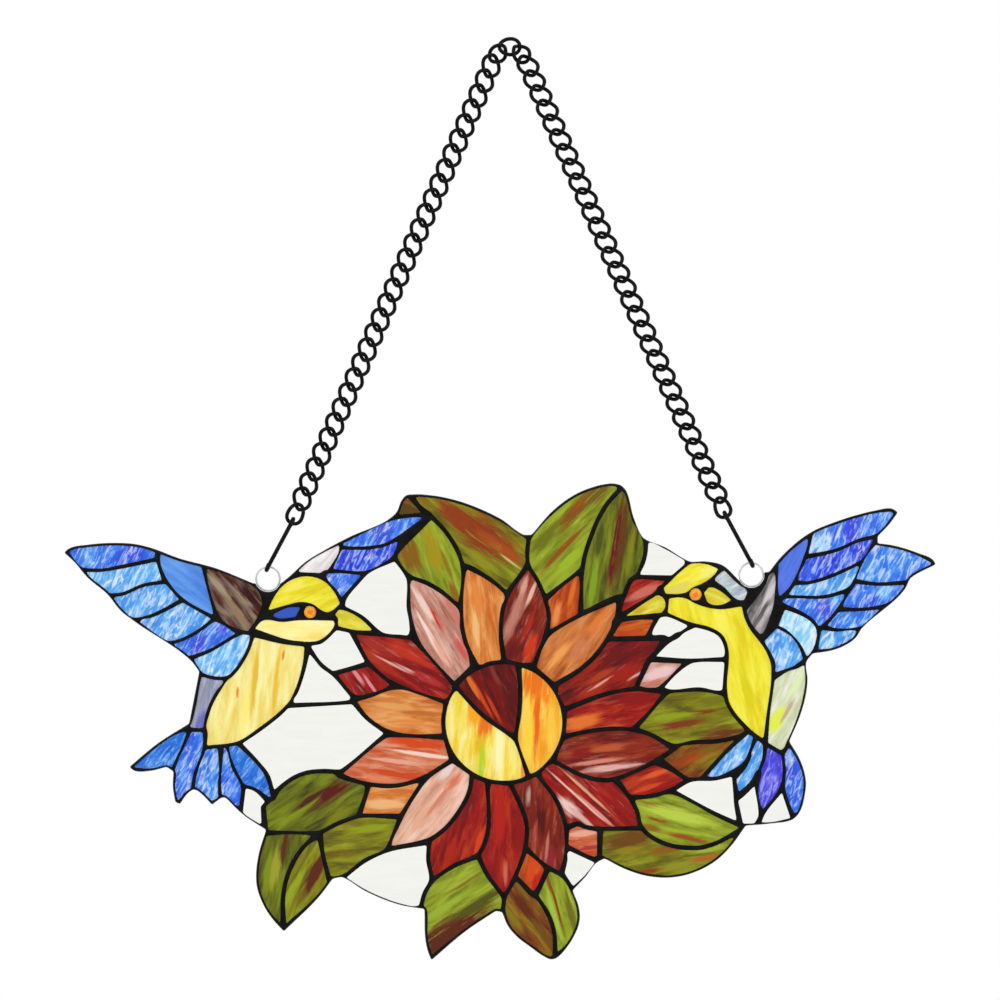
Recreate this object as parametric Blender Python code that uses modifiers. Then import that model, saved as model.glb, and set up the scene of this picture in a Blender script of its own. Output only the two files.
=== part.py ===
"""Stained glass window panel: two hummingbirds at a large flower, hung by a curb chain.

The panel is a cartoon of overlapping outlines, drawn in millimetres from the flower's centre
(x to the right, y up), top layer first. Each outline is what a glazier draws down the middle of
a solder line. The layers are laid over each other, every visible patch becomes a pane, and the
solder lattice is what the panes leave. The panel stands in the XZ plane and faces -Y. The origin
is the point where a hook carries the top link of the chain.
"""
import math

import bmesh
import bpy
import numpy as np
from mathutils import Vector
from mathutils.geometry import delaunay_2d_cdt

MM = 0.001
FLOWER_CENTRE = (-3.9, -439.1)      # mm from the origin, in X and Z

SOLDER_THICKNESS = 5.0
GLASS_THICKNESS = 3.0
GAP = 0.3                           # free space between neighbouring solids
SEAM = 1.6                          # half the width of a line between panes
FINE_SEAM = 1.3                     # the same in the birds
RIM = 1.8                           # solder round the outside of the panel
CLEAR_RIM = 1.3                     # solder round the outside of clear glass
CURVE_ERROR = 0.4                   # most that a side may leave its curve
SMALLEST_PANE = 12.0                # square mm, anything less is left to the solder
NEEDLE = 0.6                        # half the width below which a pane's end is filled
GRID = 0.5                          # spacing of the places that outlines are worked out on
OUTLINE_ERROR = 0.45
TINY_SIDE = 0.9
EYE_SIDES = 12
POCKET_OVERRUN = 0.5                # how far a group's pockets cut past its own edge

EYE_RADIUS = 4.2
EYE_DOME = 2.0                      # how far a glass eye stands out of the solder
RING_RADIUS = 7.6
RING_WIRE = 0.6
RING_SIDES = 18
HOOK_WIRE = 1.4
HOOK_CURL = 3.4
LINK_WIRE = 1.25
LINK_HALF_LENGTH = 5.95
LINK_HALF_WIDTH = 5.2
LINK_TWIST = 48                     # degrees, each end of a link about its length
EDGE_ON = 90
LINKS_PER_SIDE = 32

LEFT_EYE = (-124.6, 71.2)
RIGHT_EYE = (123.6, 82.6)
LEFT_RING = (-151.7, 92.7)
RIGHT_RING = (159.5, 95.4)


def k(x, y):
    """A corner of an outline. Plain (x, y) points between corners lie on a smooth curve."""
    return (x, y, True)


# ---------------------------------------------------------------- the cartoon

PANEL = [
    # left outer wing, from its tip along the top
    k(-283, 109.5), (-278, 113), (-262, 115.2), (-245, 115.7), (-230, 113.5), (-210, 106.2),
    (-190, 101), (-172, 94.5), k(-160.5, 89.5),
    # under the left ring comes in by NOTCH, then the head and the inner wing
    k(-143, 90), k(-137, 95), (-129, 102.5), (-119, 109), (-102, 118.3), (-86, 125.5), k(-75, 130.3),
    (-69, 135.5), (-66.3, 142), (-63, 146.3), (-56, 147), (-42, 145.8), (-25, 141.5),
    (-4, 132.5), k(13, 121),
    # leaf at the top right, clear glass and the right bird's head
    k(18, 121), (25, 129), (35, 139.5), (48, 148), (62, 153), (73, 153.8), (79, 149.5),
    (81.3, 140), (85, 129), k(90, 119), (104, 113), k(120, 103.8), (130, 103.9), k(141, 101.5),
    k(151.8, 91.5),
    k(167.7, 97), k(171, 97), (178, 106), (188, 115.5), (200, 123.8), (218, 130.8), (236, 136),
    k(250, 138), k(254, 135.5), (249, 128.5), k(241, 120), k(241, 115.5), (252, 114),
    (265, 110), k(276.5, 105), k(278.5, 102), k(262, 93), (257, 84), (245, 73), k(230.5, 60.5),
    (226, 54), (215, 47.5), k(199, 44.5), k(195, 39), (195.7, 26), (192.5, 9), k(184, -12), (191, -24),
    (194.8, -39), (191.5, -56), k(186, -62.5), (172, -65), k(156, -66.3),
    # leaves and clear glass along the bottom
    (146, -80), (133, -91.5), (115, -98.7), (97, -99.5), (80, -95), k(65, -87.5), k(60.5, -89.8),
    (53, -99), k(44.5, -108), (48.5, -119), (48.5, -130), (42, -143), k(33.5, -152),
    k(30, -152.5), (16, -143.5), (4.5, -133.5), k(-1, -122), k(-5, -121.3), (-24, -134),
    k(-46.5, -153), (-50, -142), k(-51, -120), (-68, -117), (-87, -109.5), k(-104, -99.5),
    k(-110, -100.5), (-117, -110), (-129, -122), k(-141.5, -134.5), (-152, -122),
    (-159, -105), (-158, -86), k(-153, -69), k(-168, -59),
    # left tail, back and the lower edge of the left wing
    (-176, -51), (-180, -48), k(-184, -50), k(-187.7, -53), (-195, -45.5), (-200, -43),
    (-204.5, -47), k(-208.5, -52.5), k(-211.5, -51), (-213, -41), k(-212.6, -31.5),
    k(-217, -28.5), (-227, -31), k(-238, -31), k(-241, -28.5), (-223, -13.5), k(-202.5, -0.5),
    (-200.7, 10), (-198.3, 21), k(-196, 33), (-203, 41.5), (-216, 51), (-230, 60),
    (-246, 71.5), (-255, 82.5), (-268, 93.5), (-277, 104),
]


def circle(centre, radius, sides=16):
    step = math.tau / sides
    return [k(centre[0] + radius * math.cos(i * step), centre[1] + radius * math.sin(i * step))
            for i in range(sides)]


FLOWER = [
    ("flower_centre", circle((0.2, 0.2), 39, 24), [
        [(-34, 27), (-24, 16), (-13, 4.5), (7.8, -10.5)],
        [(8.3, 42), (10.6, 24), (10.3, 8), (7.8, -10.5)],
        [(7.8, -10.5), (11, -21), (18, -40)]]),
    ("petal_12", [k(15.5, 102.5), (23, 89), (28, 75), (28.5, 62), k(20, 37), k(1, 37),
                  (-1.8, 58), (0.5, 77), (7, 90)]),
    ("petal_1", [k(74.5, 81.5), (72.5, 67), (65, 51), (52, 36.5), k(33, 24), k(18, 36),
                 (24.5, 50), k(28.5, 56.5), (40, 64.5), (56, 72)]),
    ("petal_11_30", [k(-25.5, 101.5), (-12, 94.5), k(1.8, 83.5), k(5, 60), k(5, 36), k(-17, 36),
                     (-24.5, 52), (-27.3, 68), (-26.5, 84)]),
    ("petal_11", [k(-61, 94.5), (-48, 89.3), (-36, 81.5), k(-26.5, 72), k(-20, 36),
                  k(-31.5, 24), (-45, 38.5), (-55, 52), (-60, 67), (-61.3, 80)]),
    ("petal_10", [k(-98, 59), (-78, 57), k(-59, 54.5), k(-45, 40), k(-28, 24), k(-36, 13),
                  (-54, 19.5), (-70, 24.5), (-79, 31), (-88, 40)]),
    ("petal_9", [k(-98, 14.5), (-86, 17.5), (-72, 22.5), (-58, 21.5), k(-36, 13), k(-38, -8.7),
                 (-60, -8.7), (-76, -5), (-89, 4)]),
    ("petal_8_30", [k(-107, -33.5), (-95, -23.5), (-85, -15), k(-76, -8), k(-38, -8),
                    k(-33, -24), (-50, -34.5), (-65, -39.8), (-80, -40.5), (-95, -37.5)]),
    ("petal_7_30", [k(-33, -24), k(-50, -36), (-59, -48.5), (-67, -63), k(-75, -82),
                    (-61, -78.8), k(-47, -75), (-38, -68.5), (-28, -56), (-22, -44), k(-20, -33)]),
    ("petal_7", [k(-20, -33), k(-60, -60), k(-48, -74.5), (-48.5, -88), k(-46, -102),
                 (-32, -92), k(-16, -85), (-11, -74), (-9.3, -60), k(-10.5, -36)]),
    ("petal_6", [k(-10.5, -34), k(-16.5, -85), (-11, -97), k(0.5, -113), (7, -100),
                 (12.5, -86), (15, -73), (13.5, -60), k(3, -36)]),
    ("petal_5_30", [k(3, -34), k(14, -80.5), (24, -90), k(37.5, -98.5), (40.3, -84), (40, -66),
                    (33, -48), k(22, -33)]),
    ("petal_4", [k(37, -9.8), (50, -6.3), (66, -4), (82, -4.2), (97, -8.5), k(111.5, -15.8),
                 (97, -25), (82, -32.5), (66, -37), (50, -33.7), k(32, -25)]),
    ("petal_3", [k(36, 7), (55, 14.5), (70, 19.7), k(84, 21.7), k(105.5, 20.5), (95, 7.5),
                 k(82, -6), k(60, -8), k(36, -12)]),
    ("petal_5", [k(22, -31), k(35, -70), k(48, -64.8), (58, -68), k(89, -68), (85.5, -56),
                 (79, -45), k(69, -34), k(32, -20)]),
    ("petal_2_30", [k(33, 24), (49, 34), (59, 43), k(67, 54), k(104.5, 54.8), (94, 41),
                    k(84, 20), k(60, 10), k(36, 5)]),
]

BACK_PETALS = [
    ("back_petal_1", [k(26.5, 79), (37, 88.5), k(50.3, 99), (49.7, 85), k(49.3, 68),
                      k(28, 50)]),
    ("back_petal_2", [k(67, 53.5), k(75, 66.5), (88, 67.5), k(99.5, 69), k(92.5, 54)]),
    ("back_petal_over_beak", [k(83, 93.5), (78.5, 84), k(74.5, 72), k(74, 67), k(104, 87),
                              k(110, 93.5)]),
    ("back_petal_3", [k(93, 40.8), k(120.5, 40), (110, 32), k(100, 21.5), k(80, 19)]),
    ("back_petal_4", [k(69, -36), (84, -30), k(97, -25.5), (108, -30), k(119.5, -37),
                      (108, -43), (96, -47), k(80, -48.5)]),
    ("back_petal_5", [k(38, -58), k(62, -64), k(61.5, -89), (50, -84.5), k(38, -79)]),
    ("back_petal_6", [k(14, -78), k(28, -94), k(20.5, -112), k(7.5, -99)]),
    ("back_petal_8", [k(-86.5, -38), k(-50, -35), k(-66, -60), k(-93.5, -60)]),
    ("back_petal_9", [k(-110, 31.5), (-98, 34.8), k(-86.5, 38), k(-70, 24), k(-88, 15),
                      k(-97, 17)]),
]

LEAVES = [
    ("leaf_top_left", [
        k(-78, 131), k(-80, 152), k(20, 152), k(16.5, 121), (15.3, 111), k(15.5, 98), k(0, 70),
        k(-40, 70), k(-61, 94), (-65.5, 100), k(-70.5, 107.5), (-58, 120.5), k(-46, 133),
        k(-60, 133.2)], [
        [(-64, 150), (-56, 141), (-45, 131.5), (-36.5, 122), (-29.5, 110.5), (-26, 98),
         (-25.5, 70)]]),
    ("leaf_top_right", [
        k(16.5, 118), k(14, 160), k(100, 160), k(91, 118), (91.3, 109), (88.5, 100), (83, 90),
        k(74.5, 76), k(50, 66), k(20, 60), k(15.5, 100), (15.3, 111)], [
        [(78, 156), (75, 150.5), (66, 140), (59, 127), (53.5, 111), (50.5, 98), (49.5, 64)]]),
    ("leaf_right", [
        k(80, -6), (94, 7), k(105.5, 20), (118, 21.3), (130, 21.2), k(144, 18.5), k(162, 0),
        k(158, -8), k(130, -36.5), k(119, -36.8), k(95, -20), k(80, -8)], [
        [(109, -15), (122, -12.6), (138, -11.8), (160, -6)]]),
    ("leaf_lower_right", [
        k(80, -48.5), (96, -47), k(107.5, -44.3), (122, -50.5), (137, -59), k(154, -66.5),
        k(170, -66.5), k(165, -105), k(62, -105), k(62, -64), k(85, -60)], [
        [(86, -64), (92, -71), (103, -77.5), (118, -80.5), (134, -78.5), (158, -66)]]),
    ("leaf_bottom_left", [
        k(-16.5, -82), k(-46, -98), k(-46, -101.5), (-51, -110), k(-54, -121), k(-60, -165),
        k(-1, -165), k(0.3, -121), k(0.3, -108)]),
    ("leaf_bottom_right", [
        k(0.3, -108), k(0.3, -121), k(-1, -165), k(60, -165), k(60, -125), k(44, -107),
        (37, -96), k(28, -90), k(7, -96)], [
        [(19.5, -110), (27.5, -121), (31.7, -131), (33.2, -142), (32.5, -160)]]),
    ("leaf_lower_left", [
        k(-155, -54), (-148.5, -48), (-140, -38.5), (-130, -33), (-118, -31), k(-105, -31.5),
        k(-60, -45), k(-66, -60), k(-75, -82), (-89, -88.5), k(-104, -99.5), k(-110, -106),
        k(-115, -145), k(-165, -145), k(-165, -75), k(-153.5, -67)], [
        [(-88, -58.5), (-105, -64), (-118.5, -70.8)],
        [(-162, -71.5), (-140, -70.3), (-118.5, -70.8)],
        [(-118.5, -70.8), (-116.5, -84), (-110.5, -108)],
        [(-118.5, -70.8), (-128, -79), (-135, -89), (-140, -101.5), (-142, -115),
         (-141.5, -140)]]),
]

LEFT_BIRD = [
    ("left_eye", circle(LEFT_EYE, EYE_RADIUS)),
    ("left_crown", [k(-154, 70), (-147.5, 83.5), (-139, 92), (-127, 95.5), (-115.5, 92.5),
                    (-107.5, 84), k(-103.8, 76.5), (-111.5, 70.2), (-117, 71), (-121.5, 74.5),
                    (-127, 76.7), (-137, 75.6), (-146, 72.3)]),
    ("left_eye_stripe", [k(-154.5, 68.5), (-146, 72.3), (-137, 75.4), k(-128.5, 76.8),
                         k(-132.5, 67), (-145, 66.2)]),
    ("left_cheek", [k(-163, 59.5), k(-155.5, 67), k(-107.5, 67.2), (-108, 62), (-112, 57),
                    k(-118, 52), (-125, 51), (-137, 52), (-148, 55.5)]),
    ("left_beak", [k(-110, 66), (-109.5, 71), k(-106, 74.8), (-95, 70), (-88, 65.5),
                   k(-79.5, 58), (-90, 58.2), (-98, 59), k(-108, 61.5)]),
    ("solder_left_ring", [k(-156.5, 84.5), k(-152.5, 72), k(-146, 86), k(-140, 92), k(-159, 92)]),
    ("solder_left_lores", [k(-157, 68.5), k(-150, 74), k(-103, 76.5), k(-108, 61),
                           k(-156, 66)]),
    ("left_body", [k(-162, 56.5), (-150, 54), (-140, 51.5), k(-126.5, 50.5), (-128.5, 36),
                   (-132, 24), (-137.5, 12.5), (-147, 4.5), (-158, -5), k(-171, -13.2),
                   k(-192.5, -16.3), (-192, -2), (-189.5, 9), (-184, 20), (-175, 31),
                   (-168, 40), (-163.5, 49)]),
    ("left_shoulder", [k(-194, 104), k(-150, 90), (-153.5, 78), (-157, 70), k(-163, 57.5),
                       (-172, 59.5), (-181, 64.5), (-186.5, 74), (-190, 87)]),
    ("left_covert", [k(-224, 116), k(-185, 106), k(-180, 64), (-190, 69.8), (-200, 75.3),
                     (-208.5, 80.5), (-217, 91), (-221.5, 101)]),
    ("left_wing", [k(-300, 130), k(-175, 110), k(-158, 58), k(-164, 34), k(-176, 29.5), (-183, 28.5),
                   (-191, 30), k(-197.5, 33), k(-215, 36), k(-300, 90)], [
        [(-282, 102.5), (-272, 99), (-262, 98), (-250, 99.8), (-238, 102.2), (-216, 107)],
        [(-262, 81.5), (-247, 82.5), (-238, 86.3), (-228, 89.5), (-212, 92)],
        [(-246, 66), (-232, 67.2), (-222, 71), (-212, 76), (-201, 82)],
        [(-222, 49.5), (-208, 53), (-198, 58.3), (-190, 63.5), (-180, 71)],
        [(-208, 39), (-195, 43.7), (-185, 48.7), (-176, 54.2), (-160, 62)]]),
    ("left_back", [k(-204, 33), k(-196, 33), (-191, 30), (-183, 28.5), k(-176, 29.5),
                   k(-185, 0), k(-193.5, -4.5), k(-206, -4.5)]),
    ("left_tail", [k(-205, -4.5), k(-190, -4.5), k(-192, -16.5), k(-171, -13), (-161, -23),
                   (-154, -31), (-150.5, -39), k(-147.5, -48.5), (-152, -49), (-160, -42.8),
                   k(-168, -40), (-168.5, -50), k(-169.5, -62), k(-260, -62), k(-260, -20)], [
        [(-201, -2), (-206, -14), (-210, -24), (-216, -38)],
        [(-192, -14), (-195, -24), (-199, -35), (-201, -50)],
        [(-182.5, -14), (-182, -30), (-182.8, -42), (-181, -56)],
        [(-179, -12), (-175, -26), (-170.5, -36), (-166, -44)]]),
    ("left_inner_wing_long", [k(-106, 120), k(-104.5, 112.8), (-95, 112.3), (-84, 113),
                              (-75, 115), (-67, 119.5), (-57, 126.5), k(-47, 134.3),
                              (-60, 133.2), k(-74.5, 130.7), k(-90, 134)]),
    ("left_inner_wing_mid", [k(-104, 114), (-107.5, 105.5), k(-111.5, 97), (-100, 96.6),
                             k(-88.5, 96.8), (-79, 101.2), (-71, 106.3), k(-65.5, 119),
                             k(-80, 116)]),
    ("left_inner_wing_short", [k(-116, 97), k(-88, 97), (-96, 88.5), k(-104, 77.5),
                               k(-112, 84)]),
    ("left_pearl", [k(-140, 95.3), k(-140, 104), k(-110, 122), k(-103.5, 115), (-107.5, 106),
                    (-112, 98.5), k(-115, 95.3)]),
]

RIGHT_BIRD = [
    ("right_eye", circle(RIGHT_EYE, EYE_RADIUS)),
    ("right_crown", [k(101, 86.5), (109, 93.5), k(118, 101.5), k(119, 108), k(143, 106),
                     k(141, 101), (136, 94), (129, 89), (122, 86), (117, 82.5), k(104, 81.2)]),
    ("right_nape", [k(127.5, 84), (131, 88.3), (136, 88), (142, 84.5), k(149.5, 78.5),
                    (140, 74.8), (131, 75.8)]),
    ("right_pearl", [k(145, 103), k(141, 99.5), k(133.5, 91.5), (140, 87.5), (146, 82),
                     k(149.5, 78.2), k(156, 77.5), k(158.5, 84), k(152, 95)]),
    ("right_beak", [k(71, 65.5), (88, 76.5), k(99, 84), (103.5, 81.5), (105.5, 76),
                    k(103.5, 70), (92, 68.3)]),
    ("right_body", [k(104.5, 81.5), (116, 81.7), (123, 78), (131, 76), (142, 74),
                    k(154, 77.5), (156, 68), (160, 60), (166, 52), (171, 44.5), (173.5, 36),
                    (173, 27), (171.3, 14), (169.8, 0), k(169, -13), (160, -6.5), (151, 2.5),
                    (145, 11), (142.8, 20), (143.6, 36), (143.5, 48), (139.5, 56.5),
                    (131, 61), (119, 64), k(103.5, 70.5)]),
    ("solder_right_ring", circle(RIGHT_RING, 10.2)),
    ("solder_under_right_ring", [k(149, 93), k(168, 90), k(155.5, 73), k(154, 79)]),
    ("solder_right_lores", [k(100, 87), k(103, 70), k(154, 76), k(135, 94), k(118, 86)]),
    ("solder_right_shoulder", [k(172.5, 67), k(176.5, 77), k(181, 76), k(175, 62),
                               k(166.5, 53)]),
    ("right_shoulder", [k(175.5, 101), (175.8, 88), (175.2, 78), (172.3, 67),
                        k(166.5, 53.5), (160, 61), (155.5, 69.5), k(153, 78), k(160, 95),
                        k(168, 101)]),
    ("right_flank_blue", [k(172, 29), (174, 38), k(166, 52.5), k(172.5, 62.8), (178, 61),
                          (186, 55.5), (192, 47), k(194.5, 40.5), (188, 36), (180, 32.3)]),
    ("right_flank_pale", [k(172.5, 63), k(178.5, 75), (190, 70.8), (198.5, 66), (202.5, 60),
                          (202, 52), k(197.5, 40), k(193.5, 41), (189, 52), (181, 60)]),
    ("right_flank", [k(172, 28), (180, 32.3), (188, 36), k(194, 41), k(200, 42), k(205, 20),
                     k(190, -20), k(183.5, -12), k(180, -19.8), k(168, -13.5), k(165, 0)]),
    ("right_covert", [k(174.5, 101), k(178, 115), k(200, 130), k(197.5, 119), (194.5, 108),
                      (190.5, 97), (185, 87), k(177, 77.5), (175.3, 88)]),
    ("right_wing", [k(176, 77), k(176, 120), k(215, 152), k(292, 142), k(292, 90),
                    k(240, 48), k(197, 40), (201.8, 50), (203, 59), (199, 65.7), (190, 71.2),
                    k(178, 76)], [
        [(246, 126), (236.5, 113.5), (230, 101.5), (222, 84), (213.5, 70.5), (203, 59)],
        [(190, 105.5), (205, 108.8), (217, 112), (229, 117.5), (250, 124)],
        [(182, 89.5), (195, 90), (207, 93), (219, 98), (232, 105)],
        [(174, 80.8), (195, 81), (210, 81.7), (227, 88.5)],
        [(225, 90.8), (240, 89.3), (268, 91.2)],
        [(212, 72.5), (230, 73), (252, 77)],
        [(202, 61.2), (214, 59.8), (240, 61.8)]]),
    ("right_tail_inner", [k(127, -36.5), (136, -27), (143.5, -18.5), k(157, -5.5),
                          k(162.5, -8.8), (159, -18), (155.5, -25.5), (147, -31.5),
                          k(136, -35.8)]),
    ("right_tail_narrow", [k(162, -8.5), k(168, -13.3), (167.3, -24), (163.5, -33),
                           (157.5, -41), k(150.8, -48.5), k(148.5, -36), (155.5, -28),
                           (159, -18)]),
    ("right_tail_violet", [k(167.8, -13.5), k(180, -20), (180.7, -30), (180, -38),
                           (176, -46.5), k(166.5, -59), (164, -52), (163, -40),
                           (165.5, -27)]),
    ("right_tail_outer", [k(183.5, -11), k(180, -19.8), (180.7, -30), (180, -41), (183, -52),
                          k(188, -64), k(202, -64), k(202, -12)]),
]

CLEAR = [
    ("clear_over_left_beak", [k(-106, 75), k(-89, 97), (-79, 101.2), k(-70.5, 107), (-64, 98),
                              k(-60.5, 92), k(-59, 54), k(-82, 57)]),
    ("clear_left_throat", [k(-127, 50.5), k(-116, 55), k(-108, 62), k(-95, 60), k(-86, 36),
                           k(-98, 34.5), k(-110, 31.5), (-118, 38)]),
    ("clear_left_breast", [k(-127, 49.5), (-118, 38), k(-110, 31.5), k(-97, 17),
                           k(-95, 13.5), k(-139, 11)]),
    ("clear_left_belly", [k(-139, 11), k(-95, 13.5), k(-74, -6), k(-104, -36), k(-150, -48.5),
                          (-150.5, -39), (-154, -31), k(-173, -11)]),
    ("clear_left_tail", [k(-168.2, -40.5), (-160, -42.8), k(-151.5, -49), k(-153, -72),
                         k(-170, -64)]),
    ("clear_bottom_left", [k(-75, -80), k(-46, -74), (-48.5, -88), k(-46.5, -101.5),
                           (-51, -110), k(-53.7, -125), k(-110, -118), k(-104, -99.5),
                           (-89, -88.5)]),
    ("clear_bottom_right", [k(38, -78), k(64, -90), k(62, -97), k(44.5, -113), k(37, -97)]),
    ("clear_over_right_beak", [k(88, 124), k(91.2, 110), (88.5, 100), k(83, 93.4),
                               k(110, 93.4), k(120, 102), k(120, 112)]),
    ("clear_under_right_beak", [k(99, 69), k(104, 70), k(123, 63), k(107, 53.5), k(92.5, 54)]),
    ("clear_right_throat", [k(93, 40.5), k(106, 52.5), k(123, 63.5), k(150, 58),
                            k(150, 41.3), (120, 39.8)]),
    ("clear_right_breast", [k(100, 21.5), (110, 32), k(120.5, 39.8), k(150, 41.3),
                            k(146, 18), k(110, 18), k(105, 19.5)]),
    ("clear_right_tail", [k(107.5, -44.3), k(119, -34), k(148, -30), (149.5, -50),
                          k(153, -67), (137, -59), (122, -50.5)]),
    ("clear_tail_slot", [k(162.8, -36), k(149, -50), (150.5, -58), k(153.5, -69),
                         k(162, -69), k(165.5, -60), (164.3, -50)]),
    ("clear_tail_notch", [k(179.5, -41), k(188, -62), k(180, -70), k(160, -70), k(163.5, -62)]),
]

LAYERS = ([LEFT_BIRD[0], RIGHT_BIRD[0]] + LEFT_BIRD[1:] + RIGHT_BIRD[1:] + FLOWER + BACK_PETALS
          + LEAVES + CLEAR)
BIRD_LAYERS = {name for name, *rest in LEFT_BIRD + RIGHT_BIRD}

# Panes that lie together in one bird, leaf or clear ground are one node, with the solder
# between them. Every other layer is a node of its own. A layer named solder_ holds no glass.
GROUPS = {
    "left_outer_wing": ("left_wing", "left_covert", "left_shoulder"),
    "left_inner_wing": ("left_inner_wing_long", "left_inner_wing_mid",
                        "left_inner_wing_short", "left_pearl"),
    "left_head": ("left_crown", "left_eye_stripe", "left_cheek", "left_beak",
                  "solder_left_lores"),
    "left_body_and_back": ("left_body", "left_back"),
    "right_flank": ("right_flank_blue", "right_flank_pale", "right_flank",
                    "solder_right_shoulder"),
    "right_outer_wing": ("right_wing", "right_covert"),
    "right_head_and_body": ("right_crown", "right_nape", "right_pearl", "right_beak",
                            "right_body", "solder_right_lores"),
    "right_tail": ("right_tail_inner", "right_tail_narrow", "right_tail_violet"),
    "left_tail": ("left_tail", "clear_left_tail"),
    "over_right_beak": ("back_petal_over_beak", "clear_over_right_beak"),
    "beside_petal_5": ("back_petal_5", "clear_bottom_right"),
    "clear_left": ("clear_left_throat", "clear_left_breast", "clear_left_belly"),
    "clear_right": ("clear_under_right_beak", "clear_right_throat"),
    "clear_right_tail_pair": ("clear_right_tail", "clear_tail_slot"),
}

COLOURS = {
    "solder": (0.012, 0.012, 0.012), "steel": (0.03, 0.03, 0.03),
    "clear": (0.88, 0.88, 0.85), "pearl": (0.62, 0.62, 0.66), "blue": (0.06, 0.22, 0.75),
    "yellow": (0.85, 0.75, 0.08), "amber": (0.9, 0.55, 0.05), "orange": (0.75, 0.25, 0.04),
    "red": (0.42, 0.03, 0.015), "pink": (0.75, 0.45, 0.38), "green": (0.22, 0.28, 0.02),
}


# ---------------------------------------------------------------- outlines in the plane

def smooth_run(points):
    """A Catmull-Rom curve through the points of one run between two corners."""
    if len(points) < 3:
        return points[:-1]
    padded = [2 * points[0] - points[1]] + points + [2 * points[-1] - points[-2]]
    curve = []
    for a, b, c, d in zip(padded, padded[1:], padded[2:], padded[3:]):
        steps = max(2, int((c - b).length / 1.2))
        for i in range(steps):
            t = i / steps
            curve.append(0.5 * (2 * b + (c - a) * t + (2 * a - 5 * b + 4 * c - d) * t ** 2
                                + (3 * b - a - 3 * c + d) * t ** 3))
    return thinned(curve + [points[-1]], CURVE_ERROR)[:-1]


def thinned(points, error):
    """The fewest of these points whose chain stays within the error of them all."""
    first, last = points[0], points[-1]
    side = last - first
    if side.length < 1e-6:
        gaps = [(p - first).length for p in points]
    else:
        gaps = [abs(side.x * (p - first).y - side.y * (p - first).x) / side.length
                for p in points]
    worst = max(range(len(points)), key=gaps.__getitem__)
    if gaps[worst] <= error or len(points) < 3:
        return [first, last]
    return thinned(points[:worst + 1], error)[:-1] + thinned(points[worst:], error)


def sampled(outline):
    """An outline as a closed chain of points: straight or smooth runs between its corners."""
    corners = [i for i, point in enumerate(outline) if len(point) == 3]
    turned = outline[corners[0]:] + outline[:corners[0]] + [outline[corners[0]]]
    chain = []
    run = [Vector(turned[0][:2])]
    for point in turned[1:]:
        run.append(Vector(point[:2]))
        if len(point) == 3:
            chain += smooth_run(run)
            run = [run[-1]]
    return chain


def with_ring_notches(outline):
    """The panel's outline, scooped out where each hanging ring sits in the solder."""
    clear_radius = RING_RADIUS + RING_WIRE + GAP
    for centre, start, end in ((LEFT_RING, 197, 343), (RIGHT_RING, 203, 371)):
        scoop = []
        for i in range(9):
            angle = math.radians(start + (end - start) * i / 8)
            scoop.append(k(centre[0] + clear_radius * math.cos(angle),
                           centre[1] + clear_radius * math.sin(angle)))
        before = min(range(len(outline)),
                     key=lambda i: math.dist(outline[i][:2], scoop[0][:2]))
        outline = outline[:before + 1] + scoop + outline[before + 1:]
    return outline


def inside(outline, places):
    """Which of the places lie inside a closed chain of points."""
    hits = np.zeros(len(places), dtype=bool)
    for a, b in zip(outline, outline[1:] + outline[:1]):
        if a.y == b.y:
            continue
        crosses = (a.y > places[:, 1]) != (b.y > places[:, 1])
        at = a.x + (places[:, 1] - a.y) * (b.x - a.x) / (b.y - a.y)
        hits ^= crosses & (places[:, 0] < at)
    return hits


def distance_to_chain(place, chain):
    """Distance from a point to an open chain of points."""
    best = math.inf
    for a, b in zip(chain, chain[1:]):
        side = b - a
        t = min(1.0, max(0.0, (place - a).dot(side) / side.length_squared))
        best = min(best, (place - a - side * t).length)
    return best


def area(loop):
    return 0.5 * sum(a.x * b.y - a.y * b.x for a, b in zip(loop, loop[1:] + loop[:1]))


def loops_of(sides):
    """Closed chains from directed sides, given as a dictionary of start to ends."""
    loops = []
    while sides:
        start = next(iter(sides))
        loop = [start]
        here = sides[start].pop()
        if not sides[start]:
            del sides[start]
        while here != start:
            loop.append(here)
            following = sides[here].pop()
            if not sides[here]:
                del sides[here]
            here = following
        loops.append(loop)
    return loops


def outer_sides(triangles):
    """The directed sides of a set of triangles that no other of them shares."""
    sides = {}
    edges = {(a, b) for t in triangles for a, b in zip(t, t[1:] + t[:1])}
    for a, b in sorted(edges):
        if (b, a) not in edges:
            sides.setdefault(a, []).append(b)
    return sides


def room_beside(places, loop, widths):
    """How far each place is from the loop, past the width kept clear along each side."""
    best = np.full(len(places), np.inf)
    for a, b, width in zip(loop, loop[1:] + loop[:1], widths):
        side = b - a
        x = places[:, 0] - a.x
        y = places[:, 1] - a.y
        along = ((x * side.x + y * side.y) / max(side.length_squared, 1e-9)).clip(0.0, 1.0)
        best = np.minimum(best, np.hypot(x - along * side.x, y - along * side.y) - width)
    return best


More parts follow.
